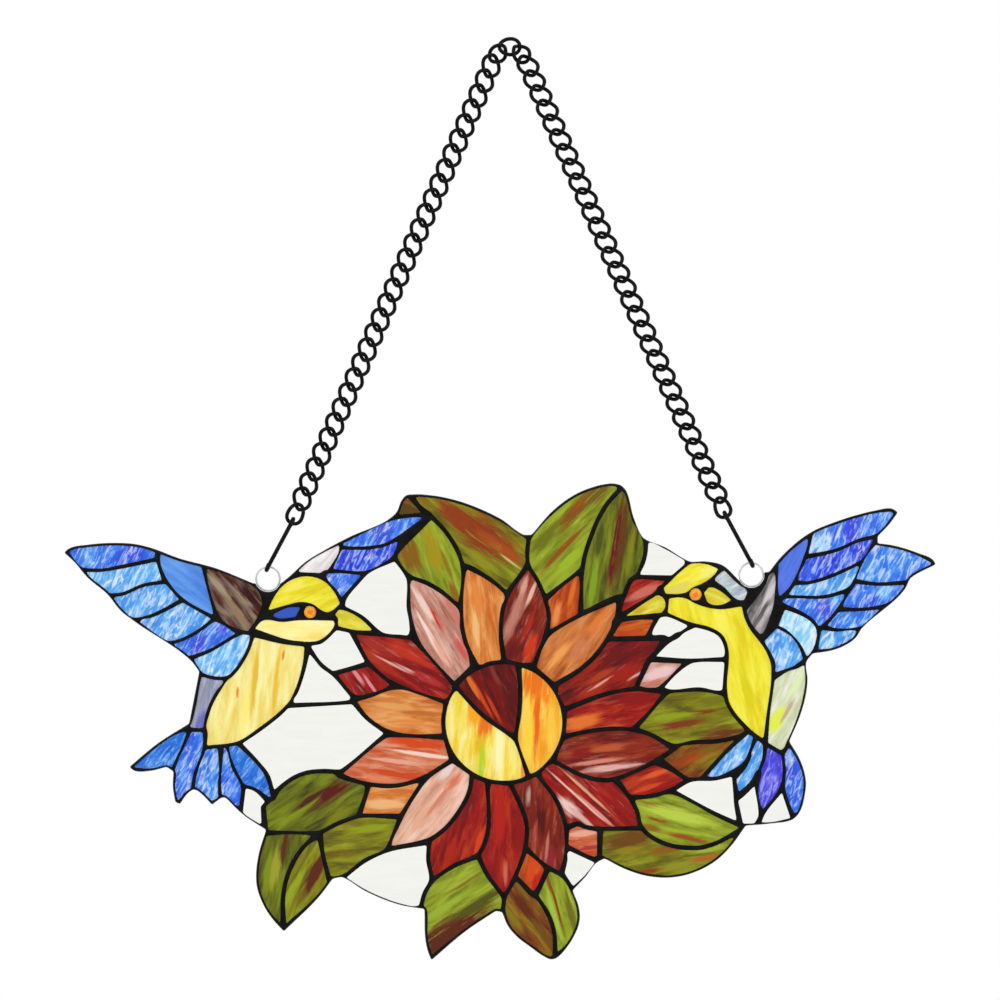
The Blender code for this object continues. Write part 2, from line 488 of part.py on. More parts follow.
def contour(values, low):
    """The largest closed chain, anticlockwise, round the positive part of a grid."""
    positive = values > 0
    count = (positive[:-1, :-1].astype(int) + positive[1:, :-1]
             + positive[:-1, 1:] + positive[1:, 1:])
    following = {}
    for row, column in np.argwhere((count > 0) & (count < 4)):
        ring = [(row, column), (row, column + 1), (row + 1, column + 1), (row + 1, column)]
        for i in range(4):
            if positive[ring[i]] and not positive[ring[(i + 1) % 4]]:
                j = i
                while positive[ring[j]]:
                    j = (j - 1) % 4
                following[ring[i], ring[(i + 1) % 4]] = ring[(j + 1) % 4], ring[j]
    loops = []
    while following:
        key = start = next(iter(following))
        loop = []
        while key in following:
            (r, c), (r2, c2) = key
            t = values[r, c] / (values[r, c] - values[r2, c2])
            loop.append(low + Vector((c + (c2 - c) * t, r + (r2 - r) * t)) * GRID)
            key = following.pop(key)
        if key == start:
            loops.append(loop)
    return max(loops, key=area) if loops else []


def drawn_in(loop, widths):
    """The loop moved in by each side's own width, less any parts too narrow to cut."""
    low = Vector((min(p.x for p in loop), min(p.y for p in loop)))
    columns = int((max(p.x for p in loop) - low.x) / GRID) + 2
    rows = int((max(p.y for p in loop) - low.y) / GRID) + 2
    down, across = np.mgrid[0:rows, 0:columns]
    places = np.column_stack([low.x + across.ravel() * GRID, low.y + down.ravel() * GRID])
    room = np.where(inside(loop, places), room_beside(places, loop, widths), -GRID)
    core = contour((room - NEEDLE).reshape(rows, columns), low)
    if area(core) < SMALLEST_PANE / 4:
        return []
    core = closed_thinned(core, OUTLINE_ERROR / 4)
    beyond = room_beside(places, core, [0.0] * len(core))
    near = NEEDLE + np.where(inside(core, places), beyond, -beyond)
    return closed_thinned(contour(near.reshape(rows, columns), low), OUTLINE_ERROR)


def inset(loop, distance):
    """A loop with no needles or tiny sides, moved in by one small distance."""
    moved = []
    for i, corner in enumerate(loop):
        before = (corner - loop[i - 1]).normalized()
        after = (loop[(i + 1) % len(loop)] - corner).normalized()
        bisector = Vector((-before.y - after.y, before.x + after.x)).normalized()
        lean = max(0.3, bisector.dot(Vector((-after.y, after.x))))
        moved.append(corner + bisector * distance / lean)
    return moved


def closed_thinned(loop, error):
    """The loop with fewer points and no tiny sides."""
    far = max(range(len(loop)), key=lambda i: (loop[i] - loop[0]).length)
    fewer = thinned(loop[:far + 1], error)[:-1] + thinned(loop[far:] + loop[:1], error)[:-1]
    kept = []
    for point in fewer:
        if not kept or (point - kept[-1]).length > TINY_SIDE:
            kept.append(point)
    while (kept[0] - kept[-1]).length < TINY_SIDE:
        kept.pop()
    return kept


# ---------------------------------------------------------------- from layers to panes

OUTSIDE = -1
SOLDER = -2


def group_of(layer):
    for group, members in GROUPS.items():
        if layer in members:
            return group
    return layer


def half_seam(layer, across):
    """How far a layer's glass stays back from one of its sides."""
    if across == OUTSIDE:
        return CLEAR_RIM if layer.startswith(("clear", "left_pearl")) else RIM
    return FINE_SEAM if layer in BIRD_LAYERS else SEAM


def lay_out():
    """Lay the layers over each other. Returns the points, triangles and their owners."""
    chains = [sampled(with_ring_notches(PANEL))]
    chains += [sampled(layer[1]) for layer in LAYERS]
    cut_chains = {}
    for layer in LAYERS:
        if len(layer) == 3:
            cut_chains[layer[0]] = [smooth_run([Vector(p) for p in cut]) + [Vector(cut[-1])]
                                    for cut in layer[2]]
    points = []
    edges = []
    for chain in chains:
        first = len(points)
        points += chain
        edges += [(first + i, first + (i + 1) % len(chain)) for i in range(len(chain))]
    for cuts in cut_chains.values():
        for cut in cuts:
            first = len(points)
            points += cut
            edges += [(first + i, first + i + 1) for i in range(len(cut) - 1)]
    points, _, faces, *_ = delaunay_2d_cdt(points, edges, [], 0, 1e-3)
    triangles = [tuple(face) for face in faces]
    middles = np.array([[sum(points[i].x for i in t) / 3, sum(points[i].y for i in t) / 3]
                        for t in triangles])
    owners = np.full(len(triangles), SOLDER)
    for index in reversed(range(len(LAYERS))):
        solder = LAYERS[index][0].startswith("solder")
        owners[inside(chains[index + 1], middles)] = index
        if solder and group_of(LAYERS[index][0]) == LAYERS[index][0]:
            owners[inside(chains[index + 1], middles)] = SOLDER
    owners[~inside(chains[0], middles)] = OUTSIDE
    return chains[0], points, triangles, owners, cut_chains


def connected(triangles, owners, points, cut_chains):
    """Sets of triangles of one owner that no cut line parts."""
    parent = list(range(len(triangles)))

    def root(i):
        while parent[i] != i:
            parent[i] = parent[parent[i]]
            i = parent[i]
        return i

    across = {}
    for i, t in enumerate(triangles):
        for a, b in zip(t, t[1:] + t[:1]):
            across[(a, b)] = i
    for (a, b), i in across.items():
        j = across.get((b, a))
        if j is None or owners[i] != owners[j] or owners[i] < 0:
            continue
        middle = (points[a] + points[b]) / 2
        cuts = cut_chains.get(LAYERS[owners[i]][0], [])
        if all(distance_to_chain(middle, cut) > 0.01 for cut in cuts):
            parent[root(i)] = root(j)
    patches = {}
    for i in range(len(triangles)):
        if owners[i] >= 0:
            patches.setdefault(root(i), []).append(i)
    return list(patches.values()), across


def region_outline(points, triangles, owners, across, members, width_of):
    """The outer outline of some triangles, drawn in by what width_of says for each side."""
    loops = loops_of(outer_sides([triangles[i] for i in members]))
    loop = max(loops, key=lambda chain: area([points[i] for i in chain]))
    widths = []
    for a, b in zip(loop, loop[1:] + loop[:1]):
        inner = across[(a, b)]
        other = across.get((b, a))
        widths.append(width_of(LAYERS[owners[inner]][0],
                               OUTSIDE if other is None else owners[other]))
    return drawn_in([points[i] for i in loop], widths)


def design():
    """Every node's outline and panes, and the panel's outline."""
    panel, points, triangles, owners, cut_chains = lay_out()
    patches, across = connected(triangles, owners, points, cut_chains)
    nodes = {}
    for patch in patches:
        layer = LAYERS[owners[patch[0]]][0]
        node = nodes.setdefault(group_of(layer), {"panes": [], "triangles": []})
        extent = sum(area([points[i] for i in triangles[t]]) for t in patch)
        if layer.startswith("solder"):
            node["triangles"] += patch
            continue
        pane = region_outline(points, triangles, owners, across, patch, half_seam)
        if extent > SMALLEST_PANE and area(pane) > SMALLEST_PANE / 2:
            node["panes"].append((layer, patch, pane))
            node["triangles"] += patch
    for name, node in nodes.items():
        if name.endswith("_eye"):
            continue
        own = set(node["triangles"])
        node["window"] = region_outline(
            points, triangles, owners, across, node["triangles"],
            lambda layer, other: half_seam(layer, other) - GAP)
        node["outline"] = inset(node["window"], GAP)
        if len(node["panes"]) == 1 and len(own) == len(node["panes"][0][1]):
            continue
        node["pockets"] = []
        for layer, patch, pane in node["panes"]:
            loop = max(loops_of(outer_sides([triangles[i] for i in patch])),
                       key=lambda chain: area([points[i] for i in chain]))
            widths = []
            for a, b in zip(loop, loop[1:] + loop[:1]):
                other = across.get((b, a))
                half = half_seam(layer, OUTSIDE if other is None else owners[other])
                widths.append(half if other in own else half - POCKET_OVERRUN)
            node["pockets"].append(drawn_in([points[i] for i in loop], widths))
        node["pockets"] = [pocket for pocket in node["pockets"] if pocket]
    return panel, nodes


# ---------------------------------------------------------------- solids

def material_of(name):
    words = (("solder", "solder"), ("chain", "steel"), ("ring", "steel"), ("hook", "steel"),
             ("clear", "clear"), ("eye", "amber"), ("centre", "amber"), ("leaf", "green"),
             ("petal_11", "orange"), ("petal_9", "orange"), ("petal_1", "orange"),
             ("petal_7_30", "pink"), ("petal_8_30", "pink"), ("petal", "red"),
             ("head", "yellow"), ("body", "yellow"), ("", "blue"))
    key = next(colour for word, colour in words if word in name)
    material = bpy.data.materials.get(key)
    if material is None:
        material = bpy.data.materials.new(key)
        material.use_nodes = True
        shader = material.node_tree.nodes["Principled BSDF"]
        shader.inputs["Base Color"].default_value = (*COLOURS[key], 1.0)
        shader.inputs["Roughness"].default_value = 0.45 if key in ("solder", "steel") else 0.15
        shader.inputs["Metallic"].default_value = 0.8 if key in ("solder", "steel") else 0.0
    return material


def place(obj, collection, frame, smooth=False):
    """Hang an object on the panel's frame, whose x and y run across and up the panel."""
    collection.objects.link(obj)
    obj.parent = frame
    if obj.type == "MESH" and smooth:
        obj.data.shade_smooth()
        obj.data.set_sharp_from_angle(angle=math.radians(40))
    if not obj.data.materials:
        obj.data.materials.append(material_of(obj.name))
    return obj


def flat_curve(name, loops, thickness):
    """A filled outline, with any further loops as holes, extruded both ways."""
    curve = bpy.data.curves.new(name, "CURVE")
    curve.dimensions = "2D"
    curve.fill_mode = "BOTH"
    curve.extrude = thickness / 2 * MM
    for loop in loops:
        spline = curve.splines.new("POLY")
        spline.points.add(len(loop) - 1)
        for point, corner in zip(spline.points, loop):
            point.co = (corner.x * MM, corner.y * MM, 0.0, 1.0)
        spline.use_cyclic_u = True
    return bpy.data.objects.new(name, curve)


def as_mesh(obj):
    """A closed mesh object in place of a curve that is not linked yet."""
    bpy.context.scene.collection.objects.link(obj)
    bpy.context.view_layer.update()
    evaluated = obj.evaluated_get(bpy.context.evaluated_depsgraph_get())
    mesh = bpy.data.meshes.new_from_object(evaluated)
    bm = bmesh.new()
    bm.from_mesh(mesh)
    bmesh.ops.remove_doubles(bm, verts=bm.verts, dist=0.02 * MM)
    bmesh.ops.recalc_face_normals(bm, faces=bm.faces)
    if obj.data.dimensions == "3D":
        bmesh.ops.triangulate(bm, faces=bm.faces)
    bm.to_mesh(mesh)
    bm.free()
    name = obj.name
    solid = bpy.data.objects.new(name, mesh)
    solid.matrix_world = obj.matrix_world
    bpy.data.objects.remove(obj)
    solid.name = name
    return solid


def joined(name, objects):
    """One mesh object from several unlinked mesh objects."""
    bm = bmesh.new()
    for obj in objects:
        obj.data.transform(obj.matrix_basis)
        bm.from_mesh(obj.data)
        bpy.data.objects.remove(obj)
    mesh = bpy.data.meshes.new(name)
    bm.to_mesh(mesh)
    bm.free()
    return bpy.data.objects.new(name, mesh)


def combine(target, operation, tool, cutters):
    cutters.objects.link(tool)
    tool.parent = target.parent
    tool.hide_render = True
    tool.display_type = "WIRE"
    modifier = target.modifiers.new(operation.lower(), "BOOLEAN")
    modifier.operation = operation
    modifier.object = tool
    modifier.solver = "EXACT"


def pane_group(name, node, collection, cutters, frame):
    """Several panes as one solid, full depth between them and pocketed over each pane."""
    eye_holes = [[Vector(corner[:2]) for corner in circle(centre, EYE_RADIUS, EYE_SIDES)]
                 for head, centre in (("left_head", LEFT_EYE), ("right_head", RIGHT_EYE))
                 if name.startswith(head)]
    body = place(as_mesh(flat_curve(name, [node["outline"]] + eye_holes,
                                    SOLDER_THICKNESS)), collection, frame)
    pockets = []
    for i, pocket in enumerate(node["pockets"]):
        block = as_mesh(flat_curve(f"{name}_{i}", [pocket], SOLDER_THICKNESS))
        block.location.z = (SOLDER_THICKNESS + GLASS_THICKNESS) / 2 * MM
        pockets.append(block)
    combine(body, "DIFFERENCE", joined(f"{name}_pockets", pockets), cutters)


def glass_eye(name, centre, collection, frame):
    """A round jewel that fills its hole and domes out of the front."""
    radius = EYE_RADIUS - GAP
    front = SOLDER_THICKNESS / 2
    profile = [(0.0, -GLASS_THICKNESS / 2), (radius, -GLASS_THICKNESS / 2)]
    for i in range(4):
        angle = math.radians(30 * i)
        profile.append((radius * math.cos(angle), front + EYE_DOME * math.sin(angle)))
    mesh = bpy.data.meshes.new(name)
    mesh.from_pydata([(x * MM, 0, z * MM) for x, z in profile],
                     [(i, i + 1) for i in range(len(profile) - 1)], [])
    eye = place(bpy.data.objects.new(name, mesh), collection, frame)
    eye.location = (centre[0] * MM, centre[1] * MM, 0)
    screw = eye.modifiers.new("turn", "SCREW")
    screw.steps = screw.render_steps = EYE_SIDES
    screw.use_merge_vertices = True
    screw.merge_threshold = 0.00001
    screw.use_normal_calculate = True


def hanging_ring(name, centre, collection, frame):
    bpy.ops.mesh.primitive_torus_add(major_radius=RING_RADIUS * MM, minor_radius=RING_WIRE * MM,
                                     major_segments=RING_SIDES, minor_segments=4)
    ring = bpy.context.object
    ring.name = name
    for owner in list(ring.users_collection):
        owner.objects.unlink(ring)
    place(ring, collection, frame, smooth=True)
    ring.location = (centre[0] * MM, centre[1] * MM, 0)


def wire(name, points, radius, cyclic=False, rounds=1):
    """A bent wire through points in millimetres."""
    curve = bpy.data.curves.new(name, "CURVE")
    curve.dimensions = "3D"
    curve.bevel_depth = radius * MM
    curve.bevel_resolution = rounds
    curve.use_fill_caps = not cyclic
    spline = curve.splines.new("POLY")
    spline.points.add(len(points) - 1)
    for point, place_mm in zip(spline.points, points):
        point.co = (*(place_mm * MM), 1.0)
    spline.use_cyclic_u = cyclic
    return bpy.data.objects.new(name, curve)


def s_hook(name, low, high, collection, frame):
    """An S hook seen edge-on, from the loop in the ring at low to the loop at high."""
    along = (high - low).normalized()
    out = Vector((0, 0, 1))
    points = []
    for centre, end in ((low, 1), (high, -1)):
        for i in range(7):
            angle = math.radians(36 * i - 18)
            points.append(centre + out * HOOK_CURL * math.cos(angle)
                          + along * end * HOOK_CURL * math.sin(angle))
    place(as_mesh(wire(name, points, HOOK_WIRE)), collection, frame, smooth=True)


def link(name, centre, along, half_length, first_twist, last_twist):
    """One long six-sided link of wire. Its two ends are turned about its length."""
    across = Vector((-along.y, along.x, 0))
    out = Vector((0, 0, 1))
    points = []
    for i in range(6):
        angle = math.radians(60 * i + 30)
        reach = math.cos(angle) / math.cos(math.radians(30))
        twist = math.radians(first_twist * (1 - reach) / 2 + last_twist * (1 + reach) / 2)
        points.append(centre + along * half_length * reach
                      + (across * math.cos(twist) + out * math.sin(twist))
                      * LINK_HALF_WIDTH * math.sin(angle))
    return wire(name, points, LINK_WIRE, cyclic=True, rounds=0)


def chain(name, hung_from, second, last, collection, cutters, frame):
    """A strand of links: every second one in the body, the rest united with it.

    The first hangs edge-on in the top link and leans out to the second. From there the
    strand is straight, and its last link is flat where the hook takes it.
    """
    step = (last - second) / (LINKS_PER_SIDE - 2)
    along = step.normalized()
    overlap = 2 * LINK_HALF_LENGTH - step.length
    reach = second - along * LINK_HALF_LENGTH - hung_from
    lean = reach.normalized()
    half_length = (reach.length + overlap) / 2
    links = [as_mesh(link(f"{name}_0", hung_from + lean * half_length, lean, half_length,
                          EDGE_ON, LINK_TWIST))]
    for i in range(LINKS_PER_SIDE - 1):
        end_twist = 0 if i == LINKS_PER_SIDE - 2 else LINK_TWIST
        links.append(as_mesh(link(f"{name}_{i + 1}", second + step * i, along,
                                  LINK_HALF_LENGTH, -LINK_TWIST, end_twist)))
    body = place(joined(name, links[0::2]), collection, frame)
    combine(body, "UNION", joined(f"{name}_links_between", links[1::2]), cutters)


TOP_LINK = Vector((3.9, 435.3, 0))
BESIDE_THE_HOOK = Vector((3.4, 0, 0))
HUNG_FROM = {"left": TOP_LINK - BESIDE_THE_HOOK, "right": TOP_LINK + BESIDE_THE_HOOK}
SECOND_LINKS = {"left": Vector((-8.1, 422.7, 0)), "right": Vector((15.7, 423.0, 0))}
LAST_LINKS = {"left": Vector((-134.0, 134.5, 0)), "right": Vector((140.8, 138.6, 0))}


def build():
    for old in list(bpy.data.objects):
        bpy.data.objects.remove(old)
    collection = bpy.data.collections.new("stained_glass_panel")
    cutters = bpy.data.collections.new("cutters")
    for each in (collection, cutters):
        bpy.context.scene.collection.children.link(each)
    frame = bpy.data.objects.new("panel_frame", None)
    collection.objects.link(frame)
    frame.location = (FLOWER_CENTRE[0] * MM, 0, FLOWER_CENTRE[1] * MM)
    frame.rotation_euler = (math.radians(90), 0, 0)
    panel, nodes = design()
    windows = [node["window"] for node in nodes.values() if "window" in node]
    place(as_mesh(flat_curve("solder_lines", [panel] + windows, SOLDER_THICKNESS)),
          collection, frame)
    for name, node in nodes.items():
        if name.endswith("_eye"):
            glass_eye(name, LEFT_EYE if name.startswith("left") else RIGHT_EYE,
                      collection, frame)
        elif "pockets" in node:
            pane_group(name, node, collection, cutters, frame)
        else:
            place(as_mesh(flat_curve(name, [node["outline"]], GLASS_THICKNESS)),
                  collection, frame)
    for side, centre in (("left", LEFT_RING), ("right", RIGHT_RING)):
        hanging_ring(f"hanging_ring_{side}", centre, collection, frame)
        second, last = SECOND_LINKS[side], LAST_LINKS[side]
        chain(f"chain_{side}", HUNG_FROM[side], second, last, collection, cutters, frame)
        along = (last - second).normalized()
        ring_top = Vector((*centre, 0)) + Vector((0, RING_RADIUS, 0))
        low = ring_top - along * (HOOK_CURL - HOOK_WIRE - RING_WIRE - GAP)
        high = last + along * (LINK_HALF_LENGTH + HOOK_CURL - HOOK_WIRE - LINK_WIRE - GAP)
        s_hook(f"s_hook_{side}", low, high, collection, frame)
    place(as_mesh(link("chain_top_link", TOP_LINK, Vector((1, 0, 0)), LINK_HALF_LENGTH,
                       0, 0)), collection, frame)
    bpy.context.view_layer.update()


build()
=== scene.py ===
"""The stained glass panel's looks: its glass, solder lines, chain and light.

The panel hangs in the plane y = 0, its front towards -Y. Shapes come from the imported
frame: each pane's outline is read from the glass nodes, and the solder fills the rest.
Plane coordinates are in millimetres from the flower's centre, x across and y up.
"""

import math
import random

import bmesh
import bpy
import numpy as np
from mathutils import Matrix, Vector, noise
from mathutils.geometry import delaunay_2d_cdt
from mathutils.kdtree import KDTree


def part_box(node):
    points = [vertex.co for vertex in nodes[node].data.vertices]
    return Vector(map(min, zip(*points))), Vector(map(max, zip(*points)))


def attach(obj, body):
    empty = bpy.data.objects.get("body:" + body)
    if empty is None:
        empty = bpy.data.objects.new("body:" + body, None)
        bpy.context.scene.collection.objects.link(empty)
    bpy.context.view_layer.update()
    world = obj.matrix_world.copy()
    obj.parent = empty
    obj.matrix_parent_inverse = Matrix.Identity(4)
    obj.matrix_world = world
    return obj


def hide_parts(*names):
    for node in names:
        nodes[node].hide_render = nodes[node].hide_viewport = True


# Lengths are in millimetres, unless a comment says otherwise

MM = 0.001
FLOWER_CENTRE = (-3.9, -439.1)  # in the frame's x and z

# Reading the outlines
WELD = 0.02                     # vertices nearer than this are one
FLAT_ENOUGH = 0.1               # from a level, for a face that lies on it
SHARPEST_MITRE = 0.5            # a grown loop's corners move out 1 / this as far, at most
SHOWN = 0.18                    # glass seen past each pane's solid, which stops short
SMALLEST_PANE = 6               # square millimetres
SOLDER_FACE = 2.5               # level of the solid sheet's front

# Curves through the outlines' points
CORNER = math.radians(42)       # a sharper bend than this stays a corner
CURVE_STEP = 0.6                # between a curve's points
MOST_BULGE = 0.5                # how far a curve leaves the side it replaces
BULGE_SHARE = 0.148             # the bulge of a side of length 1 whose heading leans by 1
SMOOTHINGS = 2

# Glass
GLASS_FACE = 1.5                # half the glass's thickness
PANE_FADE = 1.2                 # from the edge, over which the surface pattern grows
PANE_CLEARANCE = 0.6            # of the grid from the edge, as a share of its spacing
PANE_JITTER = 0.18              # of the grid, as a share of its spacing
MOST_SEED = 50                  # how far into the noise a pane's pattern can start

# Solder
BEAD_RISE = 1.0                 # above the glass
BEAD_SHOULDER = 1.4             # distance over which the solder rises
RIM_SHOULDER = 1.5              # the same at the panel's rim
BEAD_SPACING = 1.1              # of the points along the edges of the glass and the bead
BEAD_STEPS = (0.4, 0.9)         # how far inside the bead's edges its rows of points run
ROW_CLEARANCE = 0.85            # of a row from other edges, as a share of its step
BEAD_GRID = 0.8                 # spacing of the points between the rows
BEAD_JITTER = 0.15              # of the grid, as a share of its spacing
BEAD_WAVE = 0.10                # height of the bead's unevenness
BEAD_WAVES = 0.22               # its waves in a millimetre
HAIRLINE = 0.015                # between the glass and the bead round it
FINE_SPACING = 0.3              # of the points that distances to an edge are taken from

ROW_HEIGHT = 0.866              # of even triangles, as a share of their side
NEAREST = 1e-4                  # points that a triangulation keeps apart
SHARP = math.radians(55)        # an edge bent more than this isn't shaded smooth


# ---------- plane geometry

def plane(vertex):
    return Vector((vertex.x / MM - FLOWER_CENTRE[0], vertex.z / MM - FLOWER_CENTRE[1]))


def space(x, y, towards_viewer):
    return ((x + FLOWER_CENTRE[0]) * MM, -towards_viewer * MM, (y + FLOWER_CENTRE[1]) * MM)


def area(loop):
    return 0.5 * sum(a.x * b.y - a.y * b.x for a, b in zip(loop, loop[1:] + loop[:1]))


def centroid(loop):
    return sum(loop, Vector((0, 0))) / len(loop)


def circle(x, y, radius, count):
    """Places evenly spaced round a circle."""
    return [(x + radius * math.cos(math.tau * i / count),
             y + radius * math.sin(math.tau * i / count)) for i in range(count)]


def traced(following):
    """The closed runs through corners, given every corner's next ones."""
    runs = []
    while following:
        start = here = next(iter(following))
        run = []
        while not run or here != start:
            run.append(here)
            after = following[here].pop()
            if not following[here]:
                del following[here]
            here = after
        runs.append(run)
    return runs


def outlines_at(node, towards_viewer):
    """The outlines of a node's flat front faces at one level, anticlockwise, from the left."""
    bm = bmesh.new()
    bm.from_mesh(node.data)
    bmesh.ops.remove_doubles(bm, verts=bm.verts, dist=WELD * MM)
    level = -towards_viewer * MM
    bm.faces.index_update()
    flat = [face for face in bm.faces if face.normal.y < -0.9
            and abs(face.calc_center_median().y - level) < FLAT_ENOUGH * MM]
    numbers = {face.index for face in flat}
    following = {}
    for face in flat:
        for loop in face.loops:
            if not any(other.index in numbers for other in loop.edge.link_faces
                       if other != face):
                following.setdefault(loop.vert, []).append(loop.link_loop_next.vert)
    outlines = [[plane(vertex.co) for vertex in rim] for rim in traced(following)]
    bm.free()
    for outline in outlines:
        if area(outline) < 0:
            outline.reverse()
        leftmost = outline.index(min(outline, key=tuple))
        outline[:] = outline[leftmost:] + outline[:leftmost]
    return sorted(outlines, key=lambda outline: tuple(outline[0]))


def grown(loop, distance):
    """The loop moved out by one distance."""
    moved = []
    for i, corner in enumerate(loop):
        before = (corner - loop[i - 1]).normalized()
        after = (loop[(i + 1) % len(loop)] - corner).normalized()
        outwards = Vector((before.y + after.y, -before.x - after.x)).normalized()
        lean = max(SHARPEST_MITRE, outwards.dot(Vector((after.y, -after.x))))
        moved.append(corner + outwards * distance / lean)
    return moved


def heading(side, beside):
    """The way a curve crosses the end of a side that meets another, as a unit of length."""
    along = side.normalized()
    if side.angle(beside, 0) > CORNER:
        return along
    share = beside.length / (side.length + beside.length)
    way = beside.normalized().lerp(along, share).normalized()
    across = way - along * way.dot(along)
    most = MOST_BULGE / (BULGE_SHARE * side.length)
    if across.length > most:
        across *= most / across.length
    return along + across


def curved(loop):
    """The loop with its gentle bends made into curves through the same points."""
    sides = [loop[(i + 1) % len(loop)] - point for i, point in enumerate(loop)]
    smooth = []
    for i, start in enumerate(loop):
        side = sides[i]
        leaving = heading(side, sides[i - 1]) * side.length
        arriving = heading(side, sides[(i + 1) % len(loop)]) * side.length
        steps = max(1, round(side.length / CURVE_STEP))
        for step in range(steps):
            t = step / steps
            smooth.append(start + side * (3 * t ** 2 - 2 * t ** 3)
                          + leaving * (t ** 3 - 2 * t ** 2 + t) + arriving * (t ** 3 - t ** 2))
    for _ in range(SMOOTHINGS):
        smooth = [point / 2 + (smooth[i - 1] + smooth[(i + 1) % len(smooth)]) / 4
                  for i, point in enumerate(smooth)]
    return smooth


def spaced(loop, spacing):
    """The loop again, as points about evenly spaced along it."""
    chain = [loop[0]]
    run = 0.0
    for a, b in zip(loop, loop[1:] + loop[:1]):
        side = b - a
        while run + side.length >= spacing:
            a = a + side.normalized() * (spacing - run)
            side = b - a
            run = 0.0
            chain.append(a)
        run += side.length
    if (chain[-1] - chain[0]).length < spacing / 2:
        chain.pop()
    return chain


def tree_of(points):
    tree = KDTree(len(points))
    for i, point in enumerate(points):
        tree.insert((point.x, point.y, 0), i)
    tree.balance()
    return tree


def gap_to(tree, point):
    """Distance from a point to the nearest one in the tree."""
    return tree.find((point.x, point.y, 0))[2]


def box_of(loop):
    return (Vector((min(p.x for p in loop), min(p.y for p in loop))),
            Vector((max(p.x for p in loop), max(p.y for p in loop))))


def hexagonal_grid(loop, spacing, jitter, dice):
    """A grid of even triangles over a loop's box, each point a little out of place."""
    low, high = box_of(loop)
    rows = int((high.y - low.y) / (spacing * ROW_HEIGHT)) + 1
    columns = int((high.x - low.x) / spacing) + 1
    grid = []
    for row in range(rows):
        for column in range(columns):
            x = low.x + (column + row % 2 / 2 + dice.uniform(-jitter, jitter)) * spacing
            y = low.y + (row * ROW_HEIGHT + dice.uniform(-jitter, jitter)) * spacing
            grid.append(Vector((x, y)))
    return grid


def inside(loop, places):
    """Which rows of an array of places are inside a loop."""
    hits = np.zeros(len(places), dtype=bool)
    for a, b in zip(loop, loop[1:] + loop[:1]):
        if a.y == b.y:
            continue
        crosses = (a.y > places[:, 1]) != (b.y > places[:, 1])
        at = a.x + (places[:, 1] - a.y) * (b.x - a.x) / (b.y - a.y)
        hits ^= crosses & (places[:, 0] < at)
    return hits


def between(rim, holes, places):
    """Which rows of an array of places are inside the rim and in none of the holes."""
    kept = inside(rim, places)
    for hole in holes:
        low, high = box_of(hole)
        near = ((places[:, 0] > low.x) & (places[:, 0] < high.x)
                & (places[:, 1] > low.y) & (places[:, 1] < high.y))
        kept[near] &= ~inside(hole, places[near])
    return kept


# ---------- meshes

def link_in(obj, material):
    """Puts a piece in the scene, on the object's one body."""
    bpy.context.scene.collection.objects.link(obj)
    obj.data.materials.append(material)
    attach(obj, "root")
    return obj


def two_sided(name, points, triangles, front, back, rims, closed_rims):
    """A plate from one triangulation: heights for each point, and the walls of its rims.

    Points on a closed rim are shared by both sides, so the faces simply meet there. A point
    that is also on another rim isn't, so that the walls there stay whole.
    """
    count = len(points)
    shared = {i for rim in closed_rims for i in rim}
    shared -= {i for rim in rims if rim not in closed_rims for i in rim}
    verts = [space(p.x, p.y, z) for p, z in zip(points, front)]
    verts += [space(p.x, p.y, z) for p, z in zip(points, back)]
    under = [i if i in shared else i + count for i in range(count)]
    faces = list(triangles)
    faces += [(under[c], under[b], under[a]) for a, b, c in triangles]
    for rim in rims:
        for a, b in zip(rim, rim[1:] + rim[:1]):
            if under[a] != a and under[b] != b:
                faces.append((b, a, under[a], under[b]))
    mesh = bpy.data.meshes.new(name)
    mesh.from_pydata(verts, [], faces)
    bm = bmesh.new()
    bm.from_mesh(mesh)
    loose = [v for v in bm.verts if not v.link_faces]
    bmesh.ops.delete(bm, geom=loose, context="VERTS")
    bmesh.ops.recalc_face_normals(bm, faces=bm.faces)
    bm.to_mesh(mesh)
    bm.free()
    mesh.shade_smooth()
    mesh.set_sharp_from_angle(angle=SHARP)
    return bpy.data.objects.new(name, mesh)


def turned(point, angle):
    """The point turned clockwise about the origin."""
    c = math.cos(angle)
    s = math.sin(angle)
    return Vector((point.x * c + point.y * s, -point.x * s + point.y * c))


def relief(kind, point, angle, seed):
    """Height of the glass's surface pattern at a place.

    Each term is a height times noise, which has so many waves in a millimetre along and
    across the streaks.
    """
    along = turned(point, angle)
    if kind == "hammered":
        big = noise.noise((along.x * 0.16, along.y * 0.30, seed))
        small = noise.noise((along.x * 0.38, along.y * 0.62, seed + 9))
        return 0.34 * big + 0.24 * abs(small)
    if kind == "seedy":
        return 0.05 * noise.noise((point.x * 0.09, point.y * 0.09, seed))
    return (0.10 * noise.noise((along.x * 0.035, along.y * 0.11, seed))
            + 0.04 * noise.noise((along.x * 0.2, along.y * 0.35, seed)))


